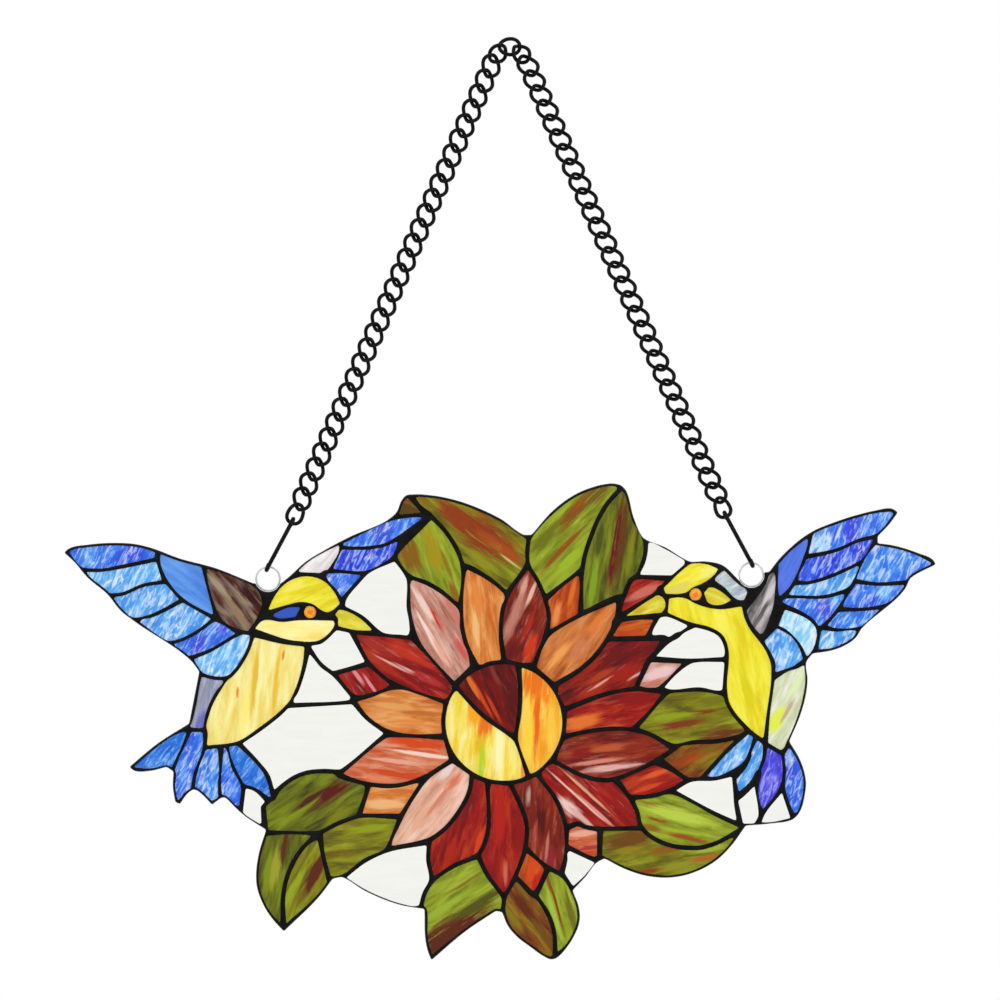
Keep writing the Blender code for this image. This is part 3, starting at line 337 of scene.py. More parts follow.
def glass_pane(name, loop, kind, angle, material):
    """A plate of glass with its surface pattern on both faces."""
    dice = random.Random(name)
    seed = dice.uniform(0, MOST_SEED)
    spacing = SURFACES[kind]["spacing"] * 1
    edge = spaced(loop, BEAD_SPACING)
    tree = tree_of(edge)
    grid = hexagonal_grid(edge, spacing, PANE_JITTER, dice)
    hits = inside(edge, np.array([tuple(p) for p in grid]))
    points = edge + [p for p, hit in zip(grid, hits)
                     if hit and gap_to(tree, p) > PANE_CLEARANCE * spacing]
    rim = list(range(len(edge)))
    points, _, triangles, *_ = delaunay_2d_cdt(points, [], [rim], 1, NEAREST)
    fade = [min(1.0, gap_to(tree, p) / PANE_FADE) for p in points]
    front = [GLASS_FACE + relief(kind, p, angle, seed) * f for p, f in zip(points, fade)]
    back = [-GLASS_FACE - relief(kind, p, angle, seed + 7) * f for p, f in zip(points, fade)]
    pane = two_sided(name, points, triangles, front, back, [rim], [])
    return link_in(pane, material)


def rise(share):
    """How high a quarter round has risen at a share of its width, from 0 to 1."""
    return math.sqrt(1 - (1 - min(1.0, share)) ** 2)


def solder(name, rim, panes, material):
    """All the solder as one bead-edged sheet round every pane."""
    dice = random.Random(name)
    spacing = BEAD_GRID * 1
    chains = [spaced(rim, BEAD_SPACING)]
    chains += [grown(spaced(loop, BEAD_SPACING), HAIRLINE) for loop in panes]
    points = []
    edges = []
    for chain in chains:
        start = len(points)
        points += chain
        edges += [(start + i, start + (i + 1) % len(chain)) for i in range(len(chain))]
    rim_tree = tree_of(spaced(rim, FINE_SPACING))
    pane_tree = tree_of([p for loop in panes for p in spaced(loop, FINE_SPACING)])
    for step in BEAD_STEPS:
        for loop, outwards in [(rim, -step)] + [(loop, step) for loop in panes]:
            for p in spaced(grown(loop, outwards), BEAD_SPACING):
                if min(gap_to(rim_tree, p), gap_to(pane_tree, p)) > ROW_CLEARANCE * step:
                    points.append(p)
    grid = hexagonal_grid(rim, spacing, BEAD_JITTER, dice)
    clearance = BEAD_STEPS[-1] + spacing / 2
    for p, kept in zip(grid, between(rim, panes, np.array([tuple(p) for p in grid]))):
        if kept and min(gap_to(rim_tree, p), gap_to(pane_tree, p)) > clearance:
            points.append(p)
    points, _, triangles, *_ = delaunay_2d_cdt(points, edges, [], 0, NEAREST)
    middles = np.array([tuple((points[a] + points[b] + points[c]) / 3)
                        for a, b, c in triangles])
    solid = between(rim, chains[1:], middles)
    triangles = [t for t, kept in zip(triangles, solid) if kept]
    sides = {(a, b) for t in triangles for a, b in zip(t, t[1:] + t[:1])}
    following = {}
    for a, b in sides:
        if (b, a) not in sides:
            following.setdefault(a, []).append(b)
    rims = traced(following)
    rims.sort(key=lambda loop: abs(area([points[i] for i in loop])))
    outer = rims.pop()
    on_rim = set(outer)
    front = []
    for i, p in enumerate(points):
        beside = min(1.0, gap_to(pane_tree, p) / BEAD_SHOULDER)
        height = GLASS_FACE + BEAD_RISE * rise(beside)
        rounded = (GLASS_FACE + BEAD_RISE) * rise(gap_to(rim_tree, p) / RIM_SHOULDER)
        wave = BEAD_WAVE * noise.noise((p.x * BEAD_WAVES, p.y * BEAD_WAVES, 3)) * beside
        front.append(0.0 if i in on_rim else min(height, rounded) + wave)
    back = [-z for z in front]
    sheet = two_sided(name, points, triangles, front, back, rims, [outer])
    return link_in(sheet, material)


def wire_curve(name, paths, radius, material, cyclic):
    """Round wire along smooth paths of points in space, in metres."""
    curve = bpy.data.curves.new(name, "CURVE")
    curve.dimensions = "3D"
    curve.bevel_depth = radius
    curve.bevel_resolution = 3
    curve.use_fill_caps = not cyclic
    for path in paths:
        spline = curve.splines.new("POLY")
        spline.points.add(len(path) - 1)
        for point, place in zip(spline.points, path):
            point.co = (*place, 1.0)
        spline.use_cyclic_u = cyclic
    return link_in(bpy.data.objects.new(name, curve), material)


# ---------- materials

def linear(code):
    """A linear colour from a six-digit sRGB code."""
    channels = [int(code[i:i + 2], 16) / 255 for i in (0, 2, 4)]
    return tuple(c / 12.92 if c <= 0.04045 else ((c + 0.055) / 1.055) ** 2.4
                 for c in channels) + (1.0,)


def grey(level):
    return (level, level, level, 1)


class Shader:
    """A material's node tree, built one node at a time."""

    def __init__(self, name, **values):
        self.material = bpy.data.materials.new(name)
        self.material.use_nodes = True
        self.tree = self.material.node_tree
        self.surface = self.tree.nodes["Principled BSDF"]
        for key, value in values.items():
            self.surface.inputs[key.replace("_", " ")].default_value = value
        self.coords = self.tree.nodes.new("ShaderNodeTexCoord").outputs["Object"]

    def link(self, output, socket):
        self.tree.links.new(output, socket)

    def mapped(self, place, angle, scale):
        """Object coordinates in a frame at a place, turned and this many metres large."""
        node = self.tree.nodes.new("ShaderNodeMapping")
        node.vector_type = "TEXTURE"
        node.inputs["Location"].default_value = place
        node.inputs["Rotation"].default_value = (0, -angle, 0)
        node.inputs["Scale"].default_value = scale
        self.link(self.coords, node.inputs["Vector"])
        return node.outputs[0]

    def noise(self, angle, length, width, detail, distortion=0.0):
        """Noise whose blotches have this length along the angle and this width, in mm."""
        place = self.mapped((0, 0, 0), angle, (length * MM, width * MM, width * MM))
        node = self.tree.nodes.new("ShaderNodeTexNoise")
        node.inputs["Scale"].default_value = 1.0
        node.inputs["Detail"].default_value = detail
        node.inputs["Roughness"].default_value = 0.6
        node.inputs["Distortion"].default_value = distortion
        self.link(place, node.inputs["Vector"])
        return node.outputs["Fac"]

    def sum(self, a, b, times, plus):
        """a + b * times + plus, for two sockets."""
        scaled = self.tree.nodes.new("ShaderNodeMath")
        scaled.operation = "MULTIPLY_ADD"
        self.link(b, scaled.inputs[0])
        scaled.inputs[1].default_value = times
        scaled.inputs[2].default_value = plus
        total = self.tree.nodes.new("ShaderNodeMath")
        total.operation = "ADD"
        self.link(a, total.inputs[0])
        self.link(scaled.outputs[0], total.inputs[1])
        return total.outputs[0]

    def patch(self, x, y, length, width, angle, ragged):
        """1 in a streak-edged oval about a place in the panel, falling to 0 outside it."""
        centre = ((x + FLOWER_CENTRE[0]) * MM, 0, (y + FLOWER_CENTRE[1]) * MM)
        place = self.mapped(centre, angle, (length * MM, 1.0, width * MM))
        reach = self.tree.nodes.new("ShaderNodeVectorMath")
        reach.operation = "LENGTH"
        self.link(place, reach.inputs[0])
        torn = self.sum(reach.outputs["Value"], ragged, RAGGEDNESS, -RAGGEDNESS / 2)
        return self.ramp(torn, [(0.5, grey(1)), (1.2, grey(0))])

    def ramp(self, factor, stops):
        node = self.tree.nodes.new("ShaderNodeValToRGB")
        elements = node.color_ramp.elements
        elements[0].position, elements[0].color = stops[0]
        elements[1].position, elements[1].color = stops[-1]
        for position, colour in stops[1:-1]:
            elements.new(position).color = colour
        self.link(factor, node.inputs["Fac"])
        return node.outputs["Color"]

    def mixed(self, factor, below, colour):
        """What is below, turned into one colour where the factor is 1."""
        node = self.tree.nodes.new("ShaderNodeMix")
        node.data_type = "RGBA"
        self.link(factor, node.inputs["Factor"])
        self.link(below, node.inputs["A"])
        node.inputs["B"].default_value = colour
        return node.outputs["Result"]

    def bump(self, height, strength, distance):
        node = self.tree.nodes.new("ShaderNodeBump")
        node.inputs["Strength"].default_value = strength
        node.inputs["Distance"].default_value = distance
        self.link(height, node.inputs["Height"])
        self.link(node.outputs["Normal"], self.surface.inputs["Normal"])


SHEEN = 0.011                   # what the glossy face adds to a linear colour
RAGGEDNESS = 1.5                # how far streaks tear the edge of a patch, in its own sizes
COLOURS_FROM = 0.35             # where in the noise the darkest colour ends
COLOURS_SPAN = 0.30             # and how far on the lightest one starts

# Each surface: the spacing of its mesh, the length and width of its blotches of colour,
# its gloss and the strength of its bump
SURFACES = {
    "seedy": {"spacing": 2.5, "blotch": (26, 5), "roughness": 0.05, "ior": 1.3,
              "specular": 0.3, "bump": 0.10},
    "smooth": {"spacing": 1.7, "blotch": (26, 5), "roughness": 0.22, "ior": 1.5,
               "specular": 0.12, "bump": 0.2},
    "hammered": {"spacing": 1.0, "blotch": (16, 9), "roughness": 0.22, "ior": 1.5,
                 "specular": 0.12, "bump": 0.2},
}

# Recipes by surface and transmission: colours from dark to light, the colour of the
# wisps or of the painted highlight dashes on hammered glass, and how many of them there are
RECIPES = {
    ("seedy", 1.0): {
        "clear": (("F2F2EC", "F7F7F2"), "FFFFFF", 0.0),
    },
    ("smooth", 0.2): {
        "pearl_left": (("D2C8CA", "E5DFE0", "F4F0F0"), "FFFFFF", 0.3),
        "pearl_right": (("989EB8", "B0BABE", "D4DAE0"), "FFFFFF", 0.3),
        "smooth_blue": (("4A7ED4", "5A90E0", "6CA0EA"), "8CB8F0", 0.1),
        "plain_blue": (("4468CC", "5475DC", "6486E4"), "8CA4EC", 0.1),
        "lemon": (("DCC824", "E8DC34", "F0E850"), "F8F490", 0.15),
        "honey": (("E6CC60", "EFE086", "F6EEA8"), "E8BC48", 0.2),
        "cream": (("F8E284", "FFEE9C", "FFF4BC"), "FFFFE0", 0.15),
        "beak": (("C8B828", "D9CC3A", "E8E05C"), "F4F09C", 0.1),
        "flank": (("BCC494", "D2D8B8", "E8EAD8"), "B8A890", 0.14),
        "blush": (("A06450", "C08878", "DCAE9E"), "EED6CC", 0.25),
        "salmon": (("C88C74", "DEAA92", "ECC4B0"), "EACCBE", 0.2),
        "coral": (("B84824", "CC6C48", "DA9274"), "ECC0AC", 0.25),
        "apricot": (("B8602C", "D4803C", "E4A464"), "ECBC84", 0.2),
        "copper": (("9C4C20", "C06C34", "D48A50"), "E0A870", 0.2),
        "tangerine": (("9A3410", "B84C18", "CC6628"), "D88C50", 0.2),
        "scarlet": (("6E120A", "981E0E", "B03A20"), "C06848", 0.14),
        "crimson": (("4C0E0A", "781A10", "9C2C18"), "BC7058", 0.14),
        "garnet": (("68100C", "941C14", "AC3622"), "D09C92", 0.18),
        "russet": (("5C1810", "80281A", "A04428"), "C49080", 0.24),
        "rust_leaf": (("5E2A0E", "7E4A14", "8C741C"), "A05020", 0.25),
        "olive_leaf": (("5C561A", "7C781C", "909822"), "A0A836", 0.2),
        "lime_leaf": (("6E781C", "8C9A28", "A0B036"), "B4C250", 0.2),
        "moss_leaf": (("44420F", "646A18", "7C8820"), "8C9A38", 0.2),
    },
    ("hammered", 0.2): {
        # The last colour of each is that of its painted highlight dashes
        "cobalt": (("2238C0", "3450DC", "4A72EC"), "D8E4FF", 0.5),
        "royal": (("2F58D4", "3F78E4", "5C9AF0"), "DCEAFF", 0.45),
        "azure": (("2C66D8", "4486E4", "62A6F0"), "DCECFF", 0.55),
        "lake": (("1E5CC8", "3478D8", "4C94E4"), "A8D0F8", 0.4),
        "sky": (("4088DC", "58A2E8", "82C2F2"), "E8F4FF", 0.55),
        "pale_sky": (("4A96E0", "6CB4F0", "9AD2F8"), "F0FAFF", 0.55),
        "ice": (("7CC0EC", "A4D6F4", "CCE8F8"), "FFFFFF", 0.5),
        "violet": (("3A36C4", "524EDC", "6C70E8"), "B8B8FA", 0.35),
    },
    ("smooth", 0.15): {
        "shadow_swirl": (("321A16", "5A3228", "6E5A58", "8C7B5C"), "A89878", 0.3),
        "grey_swirl": (("4C4C4C", "74706C", "9C9490", "BCB4B8"), "D4D0DC", 0.35),
        "mauve": (("80829C", "9C9EB4", "B4B6C8"), "CFC8DC", 0.2),
        "maroon": (("440C0A", "661410", "80201A"), "A04030", 0.2),
    },
    ("smooth", 0.25): {
        "straw": (("E8C838", "F2DC58", "F8EC98"), "FAF4B8", 0.35),
        "gold": (("EC9C20", "F4B838", "F8D458"), "FAE080", 0.3),
    },
}
GLASS = {name: (*kind, *recipe) for kind, recipes in RECIPES.items()
         for name, recipe in recipes.items()}

# Each pane by its node: where it is, its glass, the direction of its streaks in degrees,
# then its patches of other colours: place, half length, half width and colour
PANES = {
    "left_outer_wing": [
        (-253.7, 107.3, "royal", 62, (-240, 106, 12, 9, "3450D8"), (-268, 108, 10, 7, "5C9AE8")),
        (-203.3, 90.6, "smooth_blue", -35),
        (-242.3, 93.6, "pale_sky", 62, (-216, 100, 8, 5, "3450D0")),
        (-229.6, 78.8, "sky", 62), (-210.5, 64.7, "sky", 60),
        (-191.9, 53.9, "royal", 55, (-197, 50, 10, 6, "4450D4"), (-180, 62, 8, 5, "4A60DC")),
        (-180.0, 42.0, "pale_sky", 62),
        (-173.6, 78.6, "shadow_swirl", -50, (-183, 88, 14, 3, "9A8A70"),
         (-172, 72, 16, 3, "8C7458"), (-163, 82, 12, 5, "3A1C16"))],
    "left_inner_wing": [
        (-90.0, 106.0, "cobalt", 65), (-77.4, 122.2, "royal", 60, (-78, 122, 10, 8, "3C5CD4")),
        (-103.6, 90.8, "royal", 55), (-117.5, 103.5, "pearl_left", 50)],
    "left_head": [
        (-126.8, 82.8, "lemon", 20, (-134, 88, 10, 4, "F0E460")),
        (-138.6, 70.9, "plain_blue", 10, (-138, 71, 30, 12, "3A58BC")),
        (-132.4, 60.2, "cream", 0, (-120, 56, 10, 3, "F4DC70")), (-98.5, 65.3, "beak", -25)],
    "left_body_and_back": [
        (-159.8, 20.3, "honey", 84, (-141.8, 43.4, 4.5, 1.2, "E8842C"),
         (-171.2, 19.7, 4.5, 1.2, "E88C34"), (-147, 24, 26, 2.5, "E8BC40"),
         (-160, 28, 24, 2.2, "E4B83C"), (-166, 8, 20, 3, "F8E878")),
        (-192.6, 14.8, "mauve", 78, (-193, -2, 12, 8, "6B6FB5"))],
    "left_tail": [
        (-218.7, -19.6, "lake", 50), (-202.8, -25.9, "royal", 60), (-189.5, -33.4, "azure", 65),
        (-176.2, -37.3, "royal", 60), (-163.6, -30.9, "lake", 55),
        (-161.3, -53.3, "clear", 0)],
    "clear_left": [(-118.6, 23.9, "clear", 0), (-123.5, -11.4, "clear", 0),
                   (-106.2, 45.8, "clear", 0)],
    "clear_over_left_beak": [(-77.6, 79.2, "clear", 0)],
    "clear_bottom_left": [(-69.4, -98.3, "clear", 0)],
    "clear_right": [(123.2, 49.6, "clear", 0), (106.0, 61.6, "clear", 0)],
    "clear_right_breast": [(122.0, 30.0, "clear", 0)],
    "clear_right_tail_pair": [(135.1, -46.6, "clear", 0), (157.9, -54.6, "clear", 0)],
    "clear_tail_notch": [(175.9, -57.0, "clear", 0)],
    "over_right_beak": [
        (88.3, 84.8, "garnet", 25, (91, 84, 14, 4, "C86858")), (101.5, 103.6, "clear", 0)],
    "beside_petal_5": [
        (51.6, -75.7, "coral", 8, (51, -71, 14, 3, "E4A48C"), (52, -81, 14, 2, "B03830")),
        (47.4, -93.4, "clear", 0)],
    "right_head_and_body": [
        (120.4, 92.9, "lemon", 25, (112, 86, 12, 4, "DCD060"), (132, 97, 10, 4, "F0E870")),
        (136.4, 81.1, "beak", -20), (94.6, 74.5, "beak", 20, (88, 72, 6, 3, "C8A828")),
        (150.1, 40.6, "lemon", -75, (157, 20, 20, 4, "D8CC20"), (140, 66, 14, 5, "F0E858")),
        (146.8, 88.0, "pearl_right", 30, (142, 84, 8, 3, "A8D8D0"))],
    "right_shoulder": [
        (168.0, 76.0, "grey_swirl", 62, (172, 84, 12, 2.5, "C8C0C8"),
         (166, 70, 12, 2, "5C5450"))],
    "right_flank": [
        (180.0, 46.7, "sky", 70), (190.8, 59.7, "ice", 65),
        (181.5, 10.9, "flank", 60, (176, 1, 12, 6, "DDE850"), (188, 24, 12, 3, "D8E8B0"),
         (183, 8, 12, 1.5, "C0A898"))],
    "right_outer_wing": [
        (212.4, 103.7, "cobalt", 65), (212.5, 54.1, "sky", 60, (218, 48, 8, 5, "3C68D8")),
        (201.5, 74.2, "royal", 60, (206, 74, 8, 7, "5058D4"), (214, 81, 6, 4, "6CC0F0")),
        (248.6, 101.4, "azure", 65), (223.8, 66.9, "azure", 60),
        (222.0, 122.9, "royal", 68, (203, 115, 14, 9, "A8D0F0"), (224, 125, 14, 6, "3C44DC"),
         (246, 132, 8, 8, "5C98EC")),
        (208.2, 88.8, "sky", 62), (184.6, 100.1, "plain_blue", 60),
        (236.6, 82.0, "royal", 60, (246, 86, 8, 6, "6CB4F0"))],
    "right_tail": [(171.7, -34.9, "violet", 70), (148.0, -22.2, "sky", 60),
                   (159.2, -28.6, "sky", 60)],
    "right_tail_outer": [(187.0, -38.0, "royal", 70, (186, -30, 10, 6, "3A50D4"))],
    "flower_centre": [
        (-14.6, -13.2, "straw", 86, (-15, -12, 14, 4, "E4B828"), (-14, -27, 16, 2.5, "B8D02C"),
         (-12, 0, 10, 6.5, "E87414"), (-19, 8, 14, 6, "F4A820"), (-3, -17, 24, 4, "F8F0B0"),
         (-31, -18, 16, 2.5, "F4C83C"), (14, -31, 8, 4, "F09830")),
        (22.5, 1.0, "gold", 87, (21, 0, 28, 3, "E86810"), (20, 27, 14, 9, "E87410"),
         (28, 20, 12, 4, "F08818"), (16, -12, 22, 4, "F8D040"), (31, -2, 22, 4, "F6C444")),
        (-5.5, 19.0, "maroon", -62, (-15, 18, 16, 1.6, "C84818"), (-20, 24, 10, 2, "D06828"),
         (-7, 10, 12, 1.3, "B83C18"), (-4, 28, 14, 2, "7C3430"), (4, 20, 16, 6, "581212"))],
    "petal_12": [
        (13, 65, "russet", 68, (17.5, 83, 10, 1.6, "E0B0A0"), (8, 71, 24, 4.5, "B87868"),
         (5, 46, 10, 5, "6A1010"), (17, 48, 12, 4, "C83818"), (13, 88, 9, 3, "D09888"),
         (16, 62, 14, 2, "A82818"))],
    "petal_1": [
        (46, 51, "copper", 52, (49, 48, 12, 5, "C87850"), (36, 44, 14, 4, "E89C50"),
         (60, 64, 14, 4, "D87838"))],
    "petal_2_30": [
        (68, 33, "crimson", 32, (77, 32, 14, 5, "9C2414"), (62, 30, 14, 3, "A83C20"),
         (58, 22, 12, 4, "A03020"), (62, 25, 10, 1, "D89888"), (86, 31, 10, 1, "D8A090"),
         (72, 43, 14, 6, "6A1212"))],
    "petal_3": [
        (69, 7, "scarlet", 12, (50, 0, 16, 6, "DC7030"), (66, -4, 14, 3, "C85828"),
         (82, 15, 12, 4, "8A1A10"))],
    "petal_4": [
        (68, -19, "russet", 8, (68, -29, 22, 3, "DCA8A0"), (60, -25, 20, 2, "D08070"),
         (70, -16, 22, 3, "B85430"), (50, -19, 10, 4, "8A201C"), (84, -14, 12, 4, "8A2C1C"))],
    "petal_5": [
        (55, -50, "garnet", -42, (42, -54, 12, 5, "E8C4BC"), (52, -43, 28, 1.2, "DC9878"),
         (47, -47, 28, 1.0, "E8B8A8"), (60, -57, 22, 1.2, "D89080"), (75, -52, 14, 7, "92201A"),
         (50, -61, 14, 2, "D8A8A0"))],
    "petal_5_30": [
        (25, -64, "russet", 84, (16, -47, 8, 2, "B88C80"), (24, -62, 14, 4, "541812"),
         (30, -89, 10, 5, "8C2830"), (20, -74, 12, 2, "98402C"), (28, -80, 12, 1.2, "B87060"))],
    "petal_6": [
        (0, -73, "scarlet", 90, (10, -70, 20, 3, "8C1810"), (-3, -60, 24, 5, "B02414"),
         (1, -96, 10, 2, "C46450"))],
    "petal_7": [
        (-26, -71, "scarlet", 72, (-32, -70, 12, 2, "821810"), (-24, -56, 14, 2, "7A1810"),
         (-15, -76, 14, 3, "CC4422"), (-34, -84, 12, 4, "A82818"))],
    "petal_7_30": [
        (-45, -53, "salmon", 52, (-32, -38, 10, 4, "D4785C"), (-37, -31, 10, 3, "E6CCC8"),
         (-52, -60, 14, 5, "DEA88C"), (-42, -50, 16, 1.5, "D08468"))],
    "petal_8_30": [
        (-67, -24, "coral", -8, (-56, -13, 24, 5, "D04A20"), (-54, -20, 26, 1.6, "F2CCBC"),
         (-68, -25, 22, 2, "E0A08C"), (-68, -33, 26, 4, "C84A24"), (-80, -36, 14, 3, "DC8058"))],
    "petal_9": [
        (-64, 7, "apricot", -4, (-52, 6, 18, 2, "BC6C30"), (-74, 11, 18, 3, "DC9C58"),
         (-60, 0, 18, 3, "D88844"), (-70, 15, 16, 2, "C87C40"))],
    "petal_10": [
        (-63, 37, "garnet", -27, (-55, 31, 18, 1.0, "E0B4AC"), (-72, 38, 16, 0.9, "D8A098"),
         (-62, 45, 20, 4, "B83420"), (-82, 50, 12, 5, "A03028"), (-48, 28, 16, 3, "A83030"))],
    "petal_11": [
        (-41, 60, "blush", -60, (-42.6, 66, 10, 1.6, "C03420"), (-26, 48, 12, 4, "C8584C"),
         (-46, 54, 22, 2, "ECD2C8"), (-52, 76, 16, 2.5, "E8C8BC"), (-33, 72, 14, 3, "C8786C"),
         (-40, 45, 16, 2, "E4A48C"))],
    "petal_11_30": [
        (-13, 67, "apricot", 97, (-18, 60, 18, 3, "E8B474"), (-9, 73, 16, 1.3, "CC6424"),
         (-17, 80, 14, 3, "DC843C"), (-13, 48, 14, 2, "D07430"))],
    "back_petal_1": [(39, 77, "tangerine", 75, (44, 84, 12, 2, "D86C28"),
        (34, 70, 10, 3, "E08848"))],
    "back_petal_2": [(84, 61, "tangerine", 10)],
    "back_petal_3": [(99, 31, "blush", 20, (100, 32, 14, 6, "E4C0BC"), (96, 26, 12, 2, "C87060"))],
    "back_petal_4": [(94, -37, "scarlet", 20, (98, -33, 12, 2, "D8582C"),
        (92, -42, 12, 2, "CC4820"))],
    "back_petal_6": [(18, -96, "tangerine", 80, (20, -92, 12, 6, "D04A1C"),
        (22, -103, 8, 4, "B82814"))],
    "back_petal_8": [
        (-75, -50, "apricot", 2, (-75, -52, 18, 4, "E8B078"), (-66, -44, 12, 2, "D06C30"))],
    "back_petal_9": [
        (-90, 27, "garnet", -55, (-94, 30, 10, 1.5, "D88890"), (-86, 25, 10, 1.2, "D8848C"))],
    "leaf_top_left": [
        (-13.9, 117.5, "olive_leaf", -36, (-13, 121, 38, 13, "8A3A14"),
         (-32, 134, 20, 7, "8C3C16"), (-2, 112, 24, 5, "A04C1C"), (4, 104, 12, 1.2, "C8B070"),
         (-52, 143, 12, 5, "80681C"), (-13, 103, 18, 4, "8A8A20")),
        (-45.1, 104.9, "lime_leaf", -70, (-62, 109, 18, 9, "845C14"), (-32, 84, 12, 3, "8A6414"),
         (-46, 112, 20, 6, "A08C14"), (-36, 100, 14, 2, "88741C")),
        (-61.2, 138.4, "rust_leaf", -20, (-62, 137, 12, 6, "5A4416"))],
    "leaf_top_right": [
        (70.0, 108.3, "moss_leaf", 81, (75, 118, 36, 5, "5E3E12"), (58, 92, 22, 3, "7E9A24"),
         (82, 112, 24, 3, "7C7C1C"), (62, 118, 14, 2, "4C5214"), (71, 110, 40, 2.6, "641008")),
        (40.2, 119.1, "lime_leaf", 47, (46, 136, 24, 5, "7E5016"), (52, 144, 16, 2, "9C4C1A"),
         (38, 112, 26, 2.4, "8C501C"), (42, 104, 20, 4, "98B028"), (26, 118, 18, 5, "6A701A"),
         (60, 148, 16, 7, "705C1A"))],
    "leaf_right": [
        (121.4, 3.0, "olive_leaf", 8, (115, -1, 16, 3.5, "7A3C10"), (142, -8, 18, 7, "6A3A12"),
         (128, 7, 16, 2, "7A4014"), (108, 4, 18, 3, "8C9A20"), (134, 14, 14, 4, "74701A")),
        (123.9, -22.7, "rust_leaf", 28, (116, -24, 16, 3, "964014"), (138, -26, 14, 5, "80801C"),
         (127, -21, 18, 2, "A04C1C"), (134, -16, 14, 2, "7A5C18"))],
    "leaf_lower_right": [
        (96.8, -84.4, "olive_leaf", 10, (80, -76, 20, 8, "6E4614"), (131, -80, 18, 4, "A0B034"),
         (130, -87, 14, 2.5, "A8642A"), (94, -95, 18, 1.8, "8A4014"), (80, -82, 14, 3, "8C7C1C"),
         (104, -82, 16, 2.5, "8C5A1C"), (112, -92, 14, 3, "8C8A28")),
        (114.2, -63.5, "lime_leaf", -14, (99.6, -62.6, 11, 1.5, "8A5220"),
         (118, -74, 15, 2, "94501C"), (98, -53, 18, 1.5, "94702A"), (112, -60, 26, 6, "B4C848"),
         (94, -67, 10, 2.5, "8C641E"))],
    "leaf_bottom_left": [
        (-29.1, -116.0, "lime_leaf", 32, (-34, -134, 38, 10, "5E240E"),
         (-14, -115, 28, 5, "54521A"), (-38, -140, 24, 8, "5C2A1C"),
         (-25, -103, 18, 1.5, "82701E"),
         (-40, -120, 26, 3, "96AC34"))],
    "leaf_bottom_right": [
        (36.3, -118.8, "lime_leaf", -74, (34.2, -118, 26, 1.0, "7C3C14"),
         (29, -103, 12, 1.2, "8A4C18"), (43, -121, 18, 2.5, "6E6A20"),
         (33, -126, 20, 2, "A0BC40")),
        (16.4, -126.6, "rust_leaf", -52, (16, -122, 24, 3.5, "602C12"),
         (4, -124, 18, 2.5, "7E7420"),
         (26, -136, 16, 3, "6E4C18"), (12, -108, 10, 2, "7C5C1C"))],
    "leaf_lower_left": [
        (-122.0, -51.8, "moss_leaf", 35, (-113, -46, 22, 7, "5A200C"),
         (-133, -58, 20, 3, "7E8C1C"),
         (-126, -50, 18, 2.5, "4C2A0E"), (-106, -60, 14, 3, "7C7C1C")),
        (-127.7, -101.5, "olive_leaf", 62, (-121, -96, 24, 5, "5C2C10"),
         (-136, -108, 20, 3, "92A024"), (-112, -92, 18, 3, "7C6A18")),
        (-145.8, -92.8, "moss_leaf", 80, (-142, -84, 20, 3, "5A3010"),
         (-147, -94, 14, 5, "9A9A30"), (-152, -96, 20, 2.5, "7C8C1C")),
        (-95.3, -77.0, "olive_leaf", 8, (-84, -68, 14, 3, "8C9A20"),
         (-106, -84, 16, 3, "6E5A16"))],
}


def tint(code):
    """A glass colour less what the sheen of its face adds to it."""
    return tuple(max(0.0, channel - SHEEN) for channel in linear(code)[:3]) + (1.0,)


def glass_material(name, recipe, degrees, patches):
    """Streaky glass: colours, patches of others, then wisps or painted shade and glint dashes."""
    surface, transmission, colours, wisp_and_highlight, share = GLASS[recipe]
    look = SURFACES[surface]
    angle = math.radians(degrees)
    shader = Shader("glass_" + name, Roughness=look["roughness"], IOR=look["ior"],
                    Transmission_Weight=transmission, Specular_IOR_Level=look["specular"])
    body = shader.noise(angle, *look["blotch"], detail=5, distortion=0.4)
    step = COLOURS_SPAN / (len(colours) - 1)
    colour = shader.ramp(body, [(COLOURS_FROM + step * i, tint(c))
                                for i, c in enumerate(colours)])
    ragged = shader.noise(angle, length=20, width=2.4, detail=5, distortion=0.3)
    for x, y, length, width, code in patches:
        spot = shader.patch(x, y, length, width, angle, ragged)
        colour = shader.mixed(spot, colour, tint(code))
    if surface == "hammered":
        # Painted shade and painted highlights of the hammered relief: the darker and the lighter
        # parts of one noise, each fading in between its two stops
        dashes = shader.noise(angle, length=9.5, width=2.5, detail=3, distortion=0.9)
        shadow = shader.ramp(dashes, [(0.36, grey(0.7)), (0.49, grey(0))])
        colour = shader.mixed(shadow, colour, tint(colours[0]))
        painted_highlight = shader.ramp(dashes, [(0.56 - 0.16 * share, grey(0)),
                                      (0.76 - 0.16 * share, grey(0.75))])
        colour = shader.mixed(painted_highlight, colour, tint(wisp_and_highlight))
    elif share:
        streak = shader.noise(angle, length=18, width=2.4, detail=5, distortion=0.6)
        edge = 0.64 - 0.3 * share
        amount = shader.ramp(streak, [(edge, grey(0)), (edge + 0.24, grey(0.65))])
        colour = shader.mixed(amount, colour, tint(wisp_and_highlight))
    shader.link(colour, shader.surface.inputs["Base Color"])
    grain = shader.noise(angle, length=7, width=2.4, detail=3)
    shader.bump(grain, look["bump"], distance=0.4 * MM)
    return shader.material


